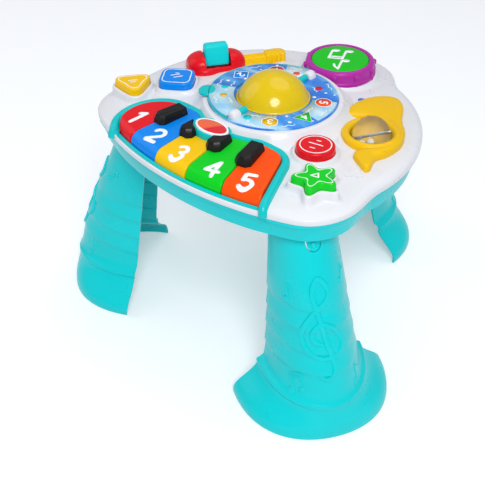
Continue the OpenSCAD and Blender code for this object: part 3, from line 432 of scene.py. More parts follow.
def metal(name, code):
    """Drawn metal with an uneven polish."""
    material, tree, shader, place = node_material(name)
    colour = linear(code)
    drift = noise(tree, place, 90.0, 4.0)
    drift_between(tree, drift, shader, shade(colour, 0.86), colour)
    roughness_from(tree, drift, shader, 0.2, 0.4)
    settings(shader, {"Metallic": 1.0})
    return material


def clear_plastic(name, code, rough, ior, transmission):
    """Plastic that light passes through."""
    material, tree, shader, place = node_material(name)
    settings(shader, {"Base Color": linear(code), "Transmission Weight": transmission, "IOR": ior})
    roughness_from(tree, noise(tree, place, 30.0, 2.0), shader, rough, rough + 0.03)
    return material


def dome_plastic(name, code):
    """Thin tinted plastic that glows a little where light passes through its wall."""
    material = plastic(name, code, (0.16, 0.24), 0.5, 0.03, 0.04)
    settings(material.node_tree.nodes["Principled BSDF"],
             {"Subsurface Weight": 0.25, "Subsurface Radius": (0.008, 0.005, 0.002)})
    return material


def mapped(tree, place, target, kind, value):
    """Sends object coordinates to a node through a mapping of one kind."""
    mapping = tree.nodes.new("ShaderNodeMapping")
    mapping.inputs[kind].default_value = value
    tree.links.new(place.outputs["Object"], mapping.inputs["Vector"])
    tree.links.new(mapping.outputs["Vector"], target)
    return mapping


def print_sea(name, codes, turn):
    """Glossy printed card in soft bands of blue."""
    material, tree, shader, place = node_material(name)
    drift = noise(tree, place, 16.0, 3.0, 0.55)
    settings(drift, {"Distortion": 0.6})
    stops = [(0.34 + 0.32 * k / (len(codes) - 1), linear(code)) for k, code in enumerate(codes)]
    colour_ramp(tree, drift.outputs["Fac"], stops, shader)
    mapping = mapped(tree, place, drift.inputs["Vector"], "Rotation", (0, 0, math.radians(turn)))
    settings(mapping, {"Scale": (1.0, 2.2, 1.0)})
    paper = noise(tree, place, 900.0, 3.0)
    roughness_from(tree, paper, shader, 0.24, 0.36)
    bump(tree, paper, shader, 0.05)
    settings(shader, {"Coat Weight": 0.35})
    return material


def badge_print(name):
    """Two colours that meet on a slanting line."""
    material = plastic(name, "#E02230", (0.2, 0.3), 0.5, 0.03, 0.03)
    tree = material.node_tree
    split = tree.nodes.new("ShaderNodeVectorMath")
    split.operation = "DOT_PRODUCT"
    split.inputs[1].default_value = (0.86, -0.5, 0)
    middle = (-BADGE[0] * MM, -(BADGE[1] - BOX_SHIFT) * MM, 0)
    mapped(tree, tree.nodes["Texture Coordinate"], split.inputs[0], "Location", middle)
    colour_ramp(tree, split.outputs["Value"], [(0.0, linear("#F4663A")), (0.0002, linear("#E01E2C"))],
                tree.nodes["Principled BSDF"])
    return material


MATERIALS = {
    "white": plastic("white_plastic", "#E2E3E8", (0.26, 0.32), 0.2, 0.01, 0.01),
    "teal": plastic("teal_plastic", "#04D2D6"),
    "frame_teal": plastic("frame_teal_plastic", "#04C2C4"),
    "red": plastic("red_plastic", "#E20C1C"),
    "blue": plastic("blue_plastic", "#0086EA"),
    "yellow": plastic("yellow_plastic", "#F5C400"),
    "horn_yellow": plastic("horn_yellow_plastic", "#EDBD06"),
    "green": plastic("green_plastic", "#00CC20"),
    "orange": plastic("orange_plastic", "#FF5000"),
    "purple": plastic("purple_plastic", "#B02CA0"),
    "black": plastic("black_plastic", "#151516", (0.34, 0.42), 0.1, 0.02, 0.1),
    "drum_skin": plastic("drum_skin", "#0FC21A", (0.36, 0.44), 0.05, 0.02, 0.02),
    "dome_yellow": dome_plastic("dome_plastic", "#E2C200"),
    "clear": clear_plastic("clear_plastic", "#FFFFFF", 0.03, 1.06, 0.96),
    "beads": plastic("bead_plastic", "#F2F2F4"),
    "steel": metal("steel", "#B8BCC2"),
    "black_inner": plastic("inner_plastic", "#26282B", (0.4, 0.6), 0.0, 0.1, 0.12),
    "silicone": plastic("silicone_rubber", "#E4E6EA", (0.5, 0.65), 0.0, 0.06, 0.04),
    "board": plastic("board_lacquer", "#1C6B45", (0.3, 0.5), 0.1, 0.1, 0.2),
    "cell": metal("cell_wrap", "#9FA6AE"),
    "printed": print_sea("printed_blue", ["#0C72DE", "#1E86E6", "#4FA8EA", "#A9D3EE"], 20),
    "printed_pale": print_sea("printed_pale", ["#8CCBEE", "#A9D8F0", "#C6E5F3", "#DDF0F6"], 60),
    "printed_page": print_sea("printed_page", ["#0F66C8", "#1878D8", "#3F9BE2", "#9CCBEA"], -35),
    "ink_white": plastic("ink_white", "#F6F7FA", (0.3, 0.4), 0.1, 0.01, 0.01),
    "badge": badge_print("badge_print"),
}


# ---------- plan of the table top ----------
RIM_STEPS = 432
# Circles and the front box that make up the outline: middle and radius, or middle and half sizes.
BODY = (0, -8, 177)
LOBES = ((-112, -72, 68), (112, -72, 68), (0, 130, 66))
FRONT_BOX_Y = -116
FRONT_BOX = (112, 44)
# Roundings where the lobes, the box and the front arc meet.
LOBE_FILLET = 12
BOX_FILLET = 6
FRONT_FILLET = 5
# Openings in the deck, under the picture disc and round the rattle ball.
DISC_HOLE_R = 60
BALL_HOLE_R = 27.5


def smooth_min(a, b, k):
    """The smaller of two distances, rounded where they are less than k apart."""
    h = max(k - abs(a - b), 0) / k
    return min(a, b) - h * h * k / 4


def outline_distance(x, y):
    """Signed distance to the edge of the top, negative inside, with the notches between lobes filleted."""
    d = math.hypot(x - BODY[0], y - BODY[1]) - BODY[2]
    for cx, cy, r in LOBES:
        d = smooth_min(d, math.hypot(x - cx, y - cy) - r, LOBE_FILLET)
    dx = abs(x) - FRONT_BOX[0]
    dy = abs(y - FRONT_BOX_Y) - FRONT_BOX[1]
    box = math.hypot(max(dx, 0), max(dy, 0)) + min(max(dx, dy), 0)
    d = smooth_min(d, box, BOX_FILLET)
    return -smooth_min(-d, -(math.hypot(x, y - FRONT_CY) - FRONT_R), FRONT_FILLET)


def rim_point(c, s, inset):
    """Where the ray in a direction crosses the outline drawn in by inset."""
    low, high = 90.0, 240.0
    for _ in range(26):
        r = (low + high) / 2
        if outline_distance(r * c, r * s) + inset > 0:
            high = r
        else:
            low = r
    return low * c, low * s


def rim_ring(inset):
    return [rim_point(c, s, inset) for c, s in circle(RIM_STEPS)]


def deck_z(x, y):
    """Height of the crowned deck."""
    return CROWN_Z - (x * x + y * y) / (2 * CROWN_R)


def shoulder_z(x, y, depth):
    """Height of the white top at a depth inside its edge."""
    return LIP_Z + (deck_z(x, y) - LIP_Z) * math.sqrt(1 - (1 - depth / SHOULDER) ** 2)


def top_z(x, y):
    """Height of the white top, its rounded shoulder included."""
    return shoulder_z(x, y, min(max(-outline_distance(x, y), 0), SHOULDER))


def in_keyboard(x, y, off=0.0):
    """Whether a plan point lies in the keyboard's region, grown outwards by off."""
    if math.hypot(x, y - DISC_Y) < DISC_CUT_R - off or y > REGION_BACK + off:
        return False
    for side, (corner, cx, lean) in KEY_SIDES.items():
        dx = side * x - cx
        dy = y - REGION_BACK + corner
        if dx * math.cos(lean) + dy * math.sin(lean) > corner + off:
            return False
        if dx > 0 and lean < math.atan2(dy, dx) and math.hypot(dx, dy) > corner + off:
            return False
    return True


def tube_path():
    """Centre line of the keyboard frame's tube, from its left foot round the back to its right foot."""
    path = []
    for side in (-1, 1):
        radius, cx, lean = KEY_SIDES[side]
        corner = [(side * x, y) for x, y in arc(cx, REGION_BACK - radius, radius, 90, math.degrees(lean), 28)]
        x, y = corner[-1]
        for _ in range(40):
            x += side * math.sin(lean) * 2.5
            y -= math.cos(lean) * 2.5
            corner.append((x, y))
        path.append([p for p in corner if outline_distance(*p) < -1.2])
    meet = math.degrees(math.atan2(REGION_BACK - DISC_Y, LEAVE_X))
    middle = arc(0, DISC_Y, DISC_CUT_R, -180 - meet, meet, 30)
    return path[0][::-1] + middle + path[1]


# ---------- white top ----------
def rim_skin():
    """The top's edge: a short wall and a shoulder, which gives way to a low band under the keys' front."""
    wall = ((1.6, 0.1), (0.3, 0.5), (0, 1.5))
    rings = [[p + (PART_Z + lift,) for p in rim_ring(inset)] for inset, lift in wall]
    for inset, low in ((0.0, 5.4), (0.35, 5.9), (1.2, 6.0), (2.5, 5.95), (2.6, 2.0), (4.5, 1.0), (7.0, 0.5),
                       (SHOULDER, 0.0)):
        rings.append([(x, y, PART_Z + low if in_keyboard(x, y, -1) else shoulder_z(x, y, inset))
                      for x, y in rim_ring(inset)])
    return loft(rings)


def deck_skin():
    """The crowned deck, open under the keyboard, the disc and the ball, which the horn's ring hides."""
    inner = rim_ring(SHOULDER)
    hole = tube_path()
    hole = hole + [(hole[-1][0] + 30, -200), (hole[0][0] - 30, -200)]
    verts, faces = fill([inner, hole], 7.0, lambda x, y: outline_distance(x, y) < -SHOULDER - 3)
    kept = []
    for face in faces:
        x = sum(verts[i][0] for i in face) / len(face)
        y = sum(verts[i][1] for i in face) / len(face)
        if math.hypot(x, y - DISC_Y) <= DISC_HOLE_R or math.hypot(x - BALL[0], y - BALL[1]) <= BALL_HOLE_R:
            continue
        if inside(inner, x, y) and not inside(hole, x, y):
            kept.append(face)
    used = sorted({i for face in kept for i in face})
    place = {old: new for new, old in enumerate(used)}
    return ([verts[i] + (deck_z(*verts[i]),) for i in used], [tuple(place[i] for i in face) for face in kept])


def disc_seat():
    """Seat of the picture disc: a cone with a soft foot and a rounded rim."""
    slope = (SEAT_FOOT_R - SEAT_TOP_R) / (SEAT_Z - SEAT_FOOT_Z)
    columns = []
    for c, s in circle(192):
        r = SEAT_FOOT_R - 4
        for _ in range(6):
            z = deck_z(r * c, DISC_Y + r * s)
            r = SEAT_FOOT_R - (z - SEAT_FOOT_Z) * slope
        foot = ((9, -0.15), (6.5, 0.05), (4.2, 0.45), (2.2, 1.3), (0.6, 2.9), (-0.7 * slope - 1.6, 4.6))
        column = [(r + out, z + lift) for out, lift in foot]
        column += [(SEAT_TOP_R + 2.4 * slope, SEAT_Z - 2.4), (SEAT_TOP_R + 0.9, SEAT_Z - 0.9),
                   (SEAT_TOP_R + 0.1, SEAT_Z - 0.25), (SEAT_TOP_R - 1.2, SEAT_Z), (DISC_R + 0.7, SEAT_Z),
                   (DISC_R + 0.3, SEAT_Z - 0.4), (DISC_R + 0.3, SEAT_Z - 1.5), (DISC_R - 12, SEAT_Z - 1.5)]
        if in_keyboard((r + 3) * c, DISC_Y + (r + 3) * s, -1):
            column = [(min(q, DISC_CUT_R + 0.8), h) for q, h in column]
        columns.append([(q * c, DISC_Y + q * s, h) for q, h in column])
    return loft(list(zip(*columns)))


def drum_base():
    """White base of the drum, with a soft foot on the deck."""
    rings = []
    for r, ref, lift in ((54, None, -0.1), (50, None, 0.3), (47.5, None, 1.4), (46.3, None, 3.2),
                         (45.8, DRUM_SEAT, -1.2), (45.0, DRUM_SEAT, -0.2), (43.5, DRUM_SEAT, 0.05),
                         (38, DRUM_SEAT, 0.05)):
        ring = [(DRUM[0] + r * c, DRUM[1] + r * s) for c, s in circle(96)]
        rings.append([(x, y, (top_z(x, y) if ref is None else max(ref, deck_z(x, y) + 0.3)) + lift)
                      for x, y in ring])
    return loft(rings)


def pin_boss(side):
    """Rounded boss that holds one of the page's hinge pins."""
    rings = []
    for along, size in ((57.6, 0.82), (58.4, 0.95), (60, 1.0), (65, 1.0), (67.2, 0.95), (68.6, 0.8),
                        (69.4, 0.5)):
        y = DISC_Y + side * along
        ring = [(7.0 * size * c, y, PAGE_AXIS_Z - 2 + 8.0 * size * s) for c, s in arc(0, 0, 1, 0, 180, 15)]
        rings.append(ring + [(-7.0 * size, y, SEAT_Z - 3), (7.0 * size, y, SEAT_Z - 3)])
    return solid_loft(rings)


def top_shell():
    """The white top in one piece, with the seats of all that stands on it."""
    pedestals = [stack(kind, x, y, [(11, None, -0.1), (7.5, None, 0.25), (5.4, None, 1.4), (4.4, None, 3.4),
                                    (4.0, PEDESTAL_Z, -2.2), (3.6, PEDESTAL_Z, -0.8), (2.6, PEDESTAL_Z, -0.1),
                                    (1.0, PEDESTAL_Z, 0.0), (0.4, PEDESTAL_Z, -0.6), (0.4, WELL_Z, 0.0)])
                 for kind, x, y in BUTTONS]
    shape = join(rim_skin(), deck_skin(), disc_seat(), *pedestals, drum_base(), pin_boss(-1), pin_boss(1))
    make("table_top", shape, "white", replaces=("top_shell",), angle=42)


# ---------- shaped buttons ----------
BUTTONS = [("circle", 97.5, -37.0), ("star", 134.4, -81.7), ("square", -118.0, -32.0),
           ("triangle", -146.5, -75.0)]
BUTTON_STEPS = 120
BUTTON_TURN = {"circle": 0, "star": 5, "square": 37, "triangle": 85}
# White lines printed inside each button.
BUTTON_BARS = {"circle": [[(-7.5, -1.2), (7.0, 2.6)], [(-4, 7), (0, 8.4)], [(-1, -8), (4, -6.6)]],
               "star": [[(-3.5, -3), (4.5, -1)], [(4.5, -1), (-0.5, 5)], [(-0.5, 5), (-3.5, -3)]],
               "square": [[(-6, -4), (-1, 5)], [(0, -5), (5, 4)], [(-6, 4), (-3, 6)]],
               "triangle": [[(-3.5, -4), (2, 4)], [(1, -5), (4, 0)]]}


def button_radius(kind, t):
    """Distance from a button's middle to its edge in a direction."""
    if kind == "circle":
        return 20.8
    if kind == "star":
        return 18.8 + 4.6 * math.cos(5 * t) + 0.7 * math.cos(10 * t)
    if kind == "square":
        return 20.2 / (abs(math.cos(t)) ** 4 + abs(math.sin(t)) ** 4) ** 0.25
    return 18.6 + 3.5 * math.cos(3 * t) + 0.5 * math.cos(6 * t)


def button_loop(kind, x, y, grow):
    """Plan outline of a button, grown outwards."""
    turn = math.radians(BUTTON_TURN[kind])
    return [(x + (button_radius(kind, t) + grow) * math.cos(t + turn),
             y + (button_radius(kind, t) + grow) * math.sin(t + turn))
            for t in (2 * math.pi * k / BUTTON_STEPS for k in range(BUTTON_STEPS))]


def stack(kind, x, y, levels):
    """Rings of a button's outline: how far grown, at a height or else on the deck, and the lift."""
    return loft([[(px, py, (top_z(px, py) if ref is None else ref) + lift)
                  for px, py in button_loop(kind, x, y, grow)] for grow, ref, lift in levels])


def button_cap(kind, x, y, colour):
    """A button's moving cap, with its printed white line and bars."""
    levels = [(0, WELL_Z - 2.7), (0, WELL_Z + 2.0), (0, BUTTON_TOP - 3.0), (-0.15, BUTTON_TOP - 1.8),
              (-0.6, BUTTON_TOP - 0.8), (-1.4, BUTTON_TOP - 0.2), (-2.4, BUTTON_TOP)]
    rings = [[p + (z,) for p in button_loop(kind, x, y, grow)] for grow, z in levels]
    edge = rings[-1]
    for part in (0.8, 0.55, 0.3, 0.08):
        rings.append([between((x, y, BUTTON_TOP), p, part) for p in edge])
    body = "button_" + kind
    make("cap_" + kind, solid_loft(rings), colour, body, replaces=(body,), angle=50)
    line = [[p + (BUTTON_TOP + lift,) for p in button_loop(kind, x, y, grow)]
            for grow, lift in ((-3.6, 0.02), (-3.7, 0.14), (-4.7, 0.14), (-4.8, 0.02))]
    make("line_" + kind, loft(line), "ink_white", body)
    loops = []
    for bar in BUTTON_BARS[kind]:
        loops += stroke([(x + bx, y + by) for bx, by in bar], 1.5)
    mark("print_" + kind, loops, flat(BUTTON_TOP), "ink_white", body, 0.16, 0.02)


# ---------- printed and raised marks ----------
DIGITS = {
    1: [[(0.1, 0.76), (0.32, 0.95), (0.32, 0.05)]],
    2: [arc(0.3, 0.68, 0.26, 165, -35, 9) + [(0.06, 0.06), (0.58, 0.06)]],
    3: [arc(0.28, 0.72, 0.22, 150, -80, 9) + arc(0.28, 0.27, 0.26, 80, -150, 10)],
    4: [[(0.44, 0.05), (0.44, 0.95), (0.04, 0.32), (0.62, 0.32)]],
    5: [[(0.54, 0.94), (0.14, 0.94), (0.11, 0.56)] + arc(0.27, 0.32, 0.28, 125, -145, 10)],
}
# Lines and heads of a single note and of two joined notes.
MUSIC = {"note": ([[(0.34, 0.2), (0.34, 0.95)], [(0.34, 0.95), (0.52, 0.8), (0.6, 0.6)]], [(0.18, 0.17)]),
         "pair": ([[(0.24, 0.18), (0.24, 0.92), (0.8, 0.98), (0.8, 0.26)], [(0.24, 0.76), (0.8, 0.82)]],
                  [(0.1, 0.14), (0.66, 0.22)])}


def disc_shape(cx, cy, r, stretch=1.0, turn=0.0, steps=28):
    """Outline of a disc or an oval."""
    return turned((cx, cy), [(r * stretch * c, r * s) for c, s in circle(steps)], turn)


def stroke(points, width):
    """Outlines of a line with round ends: one box for each stretch and one disc for each bend."""
    loops = [disc_shape(x, y, width / 2, steps=14) for x, y in points]
    for (ax, ay), (bx, by) in zip(points, points[1:]):
        size = math.hypot(bx - ax, by - ay)
        if size < 1e-6:
            continue
        nx, ny = -(by - ay) / size * width / 2, (bx - ax) / size * width / 2
        loops.append([(ax + nx, ay + ny), (ax - nx, ay - ny), (bx - nx, by - ny), (bx + nx, by + ny)])
    return loops


def glyph(lines, heads, at, size, turn, weight):
    """Outlines of a figure drawn on a unit square, about its middle."""
    def placed(points):
        return turned(at, [(size * (u - 0.33), size * (v - 0.5)) for u, v in points], turn)

    loops = []
    for line in lines:
        loops += stroke(placed(line), weight * size)
    for x, y in placed(heads):
        loops.append(disc_shape(x, y, 0.13 * size, 1.35, turn + 0.3))
    return loops


def mark(name, loops, height, material, body, thick=0.25, lift=0.12):
    """A thin printed or raised mark that follows the surface under it."""
    verts, faces = fill(loops)
    shape = ([(x, y, height(x, y) + lift) for x, y in verts], faces)
    make(name, shape, material, body, solid=thick)


def hump(half, top, across_power, up_power, step):
    """The upper half of a rounded section, as (across, up) points from one side to the other."""
    out = []
    for a in range(0, 181, step):
        c, s = math.cos(math.radians(a)), math.sin(math.radians(a))
        out.append((half * math.copysign(abs(c) ** across_power, c), top * s ** up_power))
    return out


# ---------- piano ----------
KEY_COLUMNS = 18
KEY_ROWS = 12
KEY_EDGE_R = 1.6
KEY_WALL = 6.0
KEY_HALF_GAP = 0.45
FRAME_GAP = 0.5
BLACK_BACK = -79.0
BLACK_SHIFT = 5.0
BLACK_WIDTH = 17.0
BLACK_LENGTH = 33.0
BLACK_CHAMFER = 4.6
BLACK_RISE = 8.0
DIGIT_PLACES = [(-90.0, -117.0), (-47.5, -128.5), (-4.0, -134.5), (42.0, -131.5), (83.5, -125.0)]
# How far in from the front edge, and height, round the section of the rail under the keys.
RAIL_SECTION = [(2.8, 254), (2.8, 258.6), (3.1, 259.6), (3.9, 260.3), (4.6, 260.45), (5.0, 260.2),
                (5.4, 260.5), (6.3, 260.7), (7.0, 260.2), (7.3, 259.2), (7.3, 254)]


def key_angle(k):
    """Direction of a line of the fan: whole numbers for the keys, halves for the gaps between them."""
    return KEY_TURN + (k - 2) * KEY_FAN


def key_top(rho):
    """Height of the keys' sloping top at a distance from the centre of the front edge's arc."""
    return KEY_FRONT_Z + (KEY_RHO - KEY_ROUND - rho) * KEY_SLOPE


def key_surface(x, y):
    """Height of the keys, their rounded front included."""
    rho = math.hypot(x, y - FRONT_CY)
    back = KEY_RHO - KEY_ROUND
    if rho < back:
        return key_top(rho)
    return KEY_FRONT_Z - KEY_ROUND + math.sqrt(max(KEY_ROUND ** 2 - (rho - back) ** 2, 0))


def on_arc(point, direction, rho):
    """Where a line from a point crosses the circle of radius rho about the front edge's centre."""
    px, py = point[0], point[1] - FRONT_CY
    b = px * direction[0] + py * direction[1]
    c = px * px + py * py - rho * rho
    t = -b + math.sqrt(max(b * b - c, 0))
    return point[0] + direction[0] * t, point[1] + direction[1] * t


def edge_at(k, side, rho):
    """A point of a key's long edge: beside the gap at k, or beside the frame for the outer keys."""
    if k == -0.5:
        radius, cx, _ = KEY_SIDES[-1]
        r = radius - TUBE_W / 2 - FRAME_GAP
        bx, by = -cx, REGION_BACK - radius - FRONT_CY
        gap = math.hypot(bx, by)
        along = (rho * rho - r * r + gap * gap) / (2 * gap)
        off = math.sqrt(max(rho * rho - along * along, 0))
        return (bx * along + by * off) / gap, FRONT_CY + (by * along - bx * off) / gap
    if k == 4.5:
        radius, cx, lean = KEY_SIDES[1]
        r = radius - TUBE_W / 2 - FRAME_GAP
        return on_arc((cx + r * math.cos(lean), REGION_BACK - radius + r * math.sin(lean)),
                      (math.sin(lean), -math.cos(lean)), rho)
    a = key_angle(k)
    half_gap = side * KEY_HALF_GAP
    return on_arc((FAN_X - half_gap * math.cos(a), FAN_Y - half_gap * math.sin(a)),
                  (math.sin(a), -math.cos(a)), rho)


def in_cup(x, y, grow):
    """Whether a plan point lies in the oval button's cup, grown outwards."""
    return ((x - BADGE[0]) / (BADGE_A + grow)) ** 2 + ((y - BADGE[1]) / (BADGE_B + grow)) ** 2 < 1


def badge_ellipse(grow, z):
    return [(BADGE[0] + (BADGE_A + grow) * c, BADGE[1] + (BADGE_B + grow) * s, z) for c, s in circle(96)]


def key(i, colour):
    """One key, skinned over lines that run from its front wall over the rounded front to its back."""
    def plan(share, off, w):
        """A plan point at a share of the width and an offset, w behind the key's front."""
        a, b = edge_at(i - 0.5, -1, KEY_RHO - w), edge_at(i + 0.5, 1, KEY_RHO - w)
        share += off / math.dist(a, b)
        start = math.atan2(a[1] - FRONT_CY, a[0])
        end = math.atan2(b[1] - FRONT_CY, b[0])
        at = start + (end - start) * share
        return (KEY_RHO - w) * math.cos(at), FRONT_CY + (KEY_RHO - w) * math.sin(at)

    def reach(share, off):
        """How far back a line goes before it meets the frame or the oval button's cup."""
        w = 24.0
        while w < 110:
            x, y = plan(share, off, w)
            if not in_keyboard(x, y, -TUBE_W / 2 - 0.3) or in_cup(x, y, BADGE_RIM + 0.7):
                break
            w += 0.5
        return w

    # Across a key: up one side wall, over the rounded edge, along the top and down the other side.
    edge = [(0.0, KEY_EDGE_R + KEY_WALL), (0.0, KEY_EDGE_R)]
    edge += [(KEY_EDGE_R * (1 - math.sin(a)), KEY_EDGE_R * (1 - math.cos(a)))
             for a in (math.radians(60), math.radians(35), math.radians(12))]
    across = [(0, off, drop) for off, drop in edge]
    across += [(k / KEY_COLUMNS, 0, 0.0) for k in range(1, KEY_COLUMNS)]
    across += [(1, -off, drop) for off, drop in edge[::-1]]
    grid = []
    for share, off, drop in across:
        x, y = plan(share, off, 0.0)
        line = [(x - x / KEY_RHO * drop, y - (y - FRONT_CY) / KEY_RHO * drop, PART_Z + 3.5)]
        for a in range(90, -1, -10):
            out, up = math.sin(math.radians(a)), math.cos(math.radians(a))
            x, y = plan(share, off, KEY_ROUND * (1 - out))
            n = math.hypot(x, y - FRONT_CY)
            line.append((x - x / n * out * drop, y - (y - FRONT_CY) / n * out * drop,
                         KEY_FRONT_Z - KEY_ROUND + (KEY_ROUND - drop) * up))
        length = reach(share, off) - KEY_ROUND
        for k in range(1, KEY_ROWS + 1):
            w = KEY_ROUND + length * k / KEY_ROWS
            line.append(plan(share, off, w) + (key_top(KEY_RHO - w) - drop,))
        x, y, z = line[-1]
        line.append((x, y, z - max(KEY_WALL + KEY_EDGE_R - drop, 0.2)))
        grid.append(line)
    body = f"key_{i + 1}"
    make("piano_" + body, loft(grid, False), colour, body, replaces=(body,), angle=60)


def key_digits():
    for i, place in enumerate(DIGIT_PLACES):
        loops = glyph(DIGITS[i + 1], [], place, 25.0, key_angle(i) + math.radians(5), 0.19)
        mark(f"digit_{i + 1}", loops, key_surface, "ink_white", f"key_{i + 1}", 0.4, 0.2)


def black_key(i):
    """One of the four fixed black keys over the gaps."""
    a = key_angle(i + 0.5)
    middle = FAN_X + (FAN_Y - BLACK_BACK) * math.tan(a) + BLACK_SHIFT
    # The middle two end beside the badge.
    rear = -8.0 if i in (1, 2) else 1.5

    def loop(grow):
        w = BLACK_WIDTH / 2 + grow
        near = -BLACK_LENGTH - grow
        corners = [(-w, rear), (-w, near + BLACK_CHAMFER), (BLACK_CHAMFER - w, near),
                   (w - BLACK_CHAMFER, near), (w, near + BLACK_CHAMFER), (w, rear)]
        points = []
        for start, end, steps in zip(corners, corners[1:] + corners[:1], (12, 2, 4, 2, 12, 6)):
            points += [between(start, end, k / steps) for k in range(steps)]
        out = []
        for x, y in turned((middle, BLACK_BACK), points, a):
            # What would stand in the frame or the cup moves forwards along the key.
            while in_cup(x, y, BADGE_RIM + 0.2) or not in_keyboard(x, y, -TUBE_W / 2 + 0.8):
                x += 0.25 * math.sin(a)
                y -= 0.25 * math.cos(a)
            out.append((x, y))
        return out

    top = key_top(FRONT_CY - BLACK_BACK) + BLACK_RISE
    levels = [(1.2, top - 12), (0.9, top - 6.5), (-0.9, top - 1.4), (-1.5, top - 0.5), (-2.4, top)]
    rings = [[p + (z,) for p in loop(grow)] for grow, z in levels]
    make(f"black_piano_key_{i + 1}", loft(rings, True, False, True), "black",
         replaces=(f"black_key_{i + 1}",), angle=24)


def tube_ups(spine):
    """Upright along the tube, turned outwards on its two feet."""
    ups = []
    for x, y, z in spine:
        low = max(0.0, min(1.0, (top_z(x * 0.93, y * 0.93) - z) / 8))
        ups.append(Vector((0, 0, 1)) * (1 - low * 0.7) + Vector((x, y, 0)).normalized() * low)
    return ups


def keyboard_frame():
    """The teal tube round the keys, the rail before them and the oval button's cup."""
    spine = [(x, y, top_z(x, y)) for x, y in tube_path()]
    for _ in range(3):
        soft = [tuple((a + 2 * b + c) / 4 for a, b, c in zip(*spine[k - 1:k + 2]))
                for k in range(1, len(spine) - 1)]
        spine = [spine[0]] + soft + [spine[-1]]
    # The feet of the tube bend down over the shoulder.
    feet = []
    for x, y, z in (spine[0], spine[-1]):
        out = Vector((x, y, 0)).normalized()
        feet.append([(x + out.x * 0.9, y + out.y * 0.9, z - 3), (x + out.x * 1.1, y + out.y * 1.1, z - 6)])
    spine = feet[0][::-1] + spine + feet[1]
    section = hump(TUBE_W / 2, TUBE_H, 0.8, 0.8, 12) + [(-TUBE_W / 2, -3.0), (TUBE_W / 2, -3.0)]
    parts = [sweep(spine, tube_ups(spine), section)]
    # Inner skirt of the tube, down to the keys.
    inner = []
    for k in range(2, len(spine) - 2):
        x, y, z = spine[k]
        tx, ty = spine[k + 1][0] - spine[k - 1][0], spine[k + 1][1] - spine[k - 1][1]
        size = math.hypot(tx, ty)
        nx, ny = ty / size, -tx / size
        inner.append([(x + nx * q, y + ny * q, z + lift)
                      for q, lift in ((2.2, 2.0), (4.0, 0.5), (4.0, -9.0))])
    parts.append(loft(inner, False))
    # Rail along the front of the keys, with a crease along its top.
    ax, ay = edge_at(-0.5, -1, FRONT_R - 5)
    bx, by = edge_at(4.5, 1, FRONT_R - 5)
    start = math.degrees(math.atan2(ay - FRONT_CY, ax) - 4.0 / FRONT_R)
    end = math.degrees(math.atan2(by - FRONT_CY, bx) + 4.0 / FRONT_R)
    lines = [[p + (z,) for p in arc(0, FRONT_CY, FRONT_R - out, start, end, 80)] for out, z in RAIL_SECTION]
    parts.append(solid_loft(list(zip(*lines))))
    # Cup of the oval button.
    over_rim = [(0.4, 266), (0.2, 276), (0, 279.5), (-0.5, 281.6), (-1.4, 282.7), (-2.2, 282.6),
                (-2.9, 281.8)]
    cup = [badge_ellipse(BADGE_RIM + grow, z) for grow, z in over_rim]
    parts.append(loft(cup + [badge_ellipse(0.45, 279), badge_ellipse(0.45, 272)]))
    make("piano_frame", join(*parts), "frame_teal", replaces=("keyboard_frame",), angle=50)


def badge():
    """The oval mode button."""
    levels = [(0, 275), (0, 282.4), (-0.3, 283.2), (-0.9, 283.6), (-1.7, 283.7), (-2.3, 283.5), (-2.5, 283.3)]
    make("badge_ring", loft([badge_ellipse(grow, z) for grow, z in levels]), "ink_white", "mode")
    top = [badge_ellipse(-2.4, 283.2), badge_ellipse(-4, 283.5), badge_ellipse(-8, 283.8)]
    top.append([between(BADGE, p[:2], 0.2) + (284.0,) for p in top[-1]])
    make("badge_face", loft(top, True, False, True), "badge", "mode", replaces=("mode_button",))


# ---------- picture disc, page and dome ----------
HALF_TOPS = {"root": flat(DISC_TOP), "page": flat(PAGE_TOP)}
PAGE_START = 90.6
PAGE_END = 269.4
PIN_START = 56.8
NUMBER_R = 9.2
# How much larger the shapes with corners are drawn, by the number of their corners.
SHAPE_GROW = {3: 1.35, 4: 1.2, 6: 1.05}
# Printed numbers: value, corners of the shape round it, colour, distance and direction from the centre.
NUMBERS = [(1, 0, "red", 57.5, 128), (2, 4, "blue", 58, 172), (3, 6, "horn_yellow", 57.5, -52),
           (4, 3, "green", 57.5, -12), (5, 0, "orange", 57.5, 28)]
# Pale fields of each half, as directions.
FIELDS = [("root", -88, -44), ("root", -6, 32), ("page", 204, 267), ("page", 93, 118)]
# Small prints, as distance and direction.
WAVES = {"root": [(50, 60), (68, 62), (50, 5), (67, -34), (49, -70), (68, -68), (66, 8)],
         "page": [(51, 108), (67, 108), (50, 150), (67, 150), (51, 196), (66, 200), (50, 240), (66, 236)]}
BUBBLES = [(69, 45), (60, 50), (46, 40), (69, 16), (47, -30), (60, -31), (69, -10), (62, -74)]
SPOTS = [(60, 146), (69, 128), (47, 128), (60, 112), (47, 175), (60, 192), (54, 214)]
DOTS = [(55, 62, "red", 4.6), (56, -78, "teal", 4.6), (69, 70, "blue", 2.5)]
FISHES = [(57, 207, "teal", 4.2), (56, 227, "horn_yellow", 4.2), (56, 103, "orange", 4.2)]


def annulus(r0, r1, a0, a1, low, high, edge, steps):
    """A flat ring sector with rounded edges."""
    profile = [(r0, low), (r0, high - edge), (r0 + edge, high), (r1 - edge, high),
               (r1 - 0.15 * edge, high - 0.3 * edge), (r1, high - edge), (r1, low)]
    lines = [[p + (z,) for p in arc(0, DISC_Y, r, a0, a1, steps)] for r, z in profile]
    full = abs(a1 - a0) >= 360
    return loft(list(zip(*lines)), True, not full, not full)


def polar(r, degrees):
    """A plan point by distance and direction from the disc's centre."""
    return r * math.cos(math.radians(degrees)), DISC_Y + r * math.sin(math.radians(degrees))


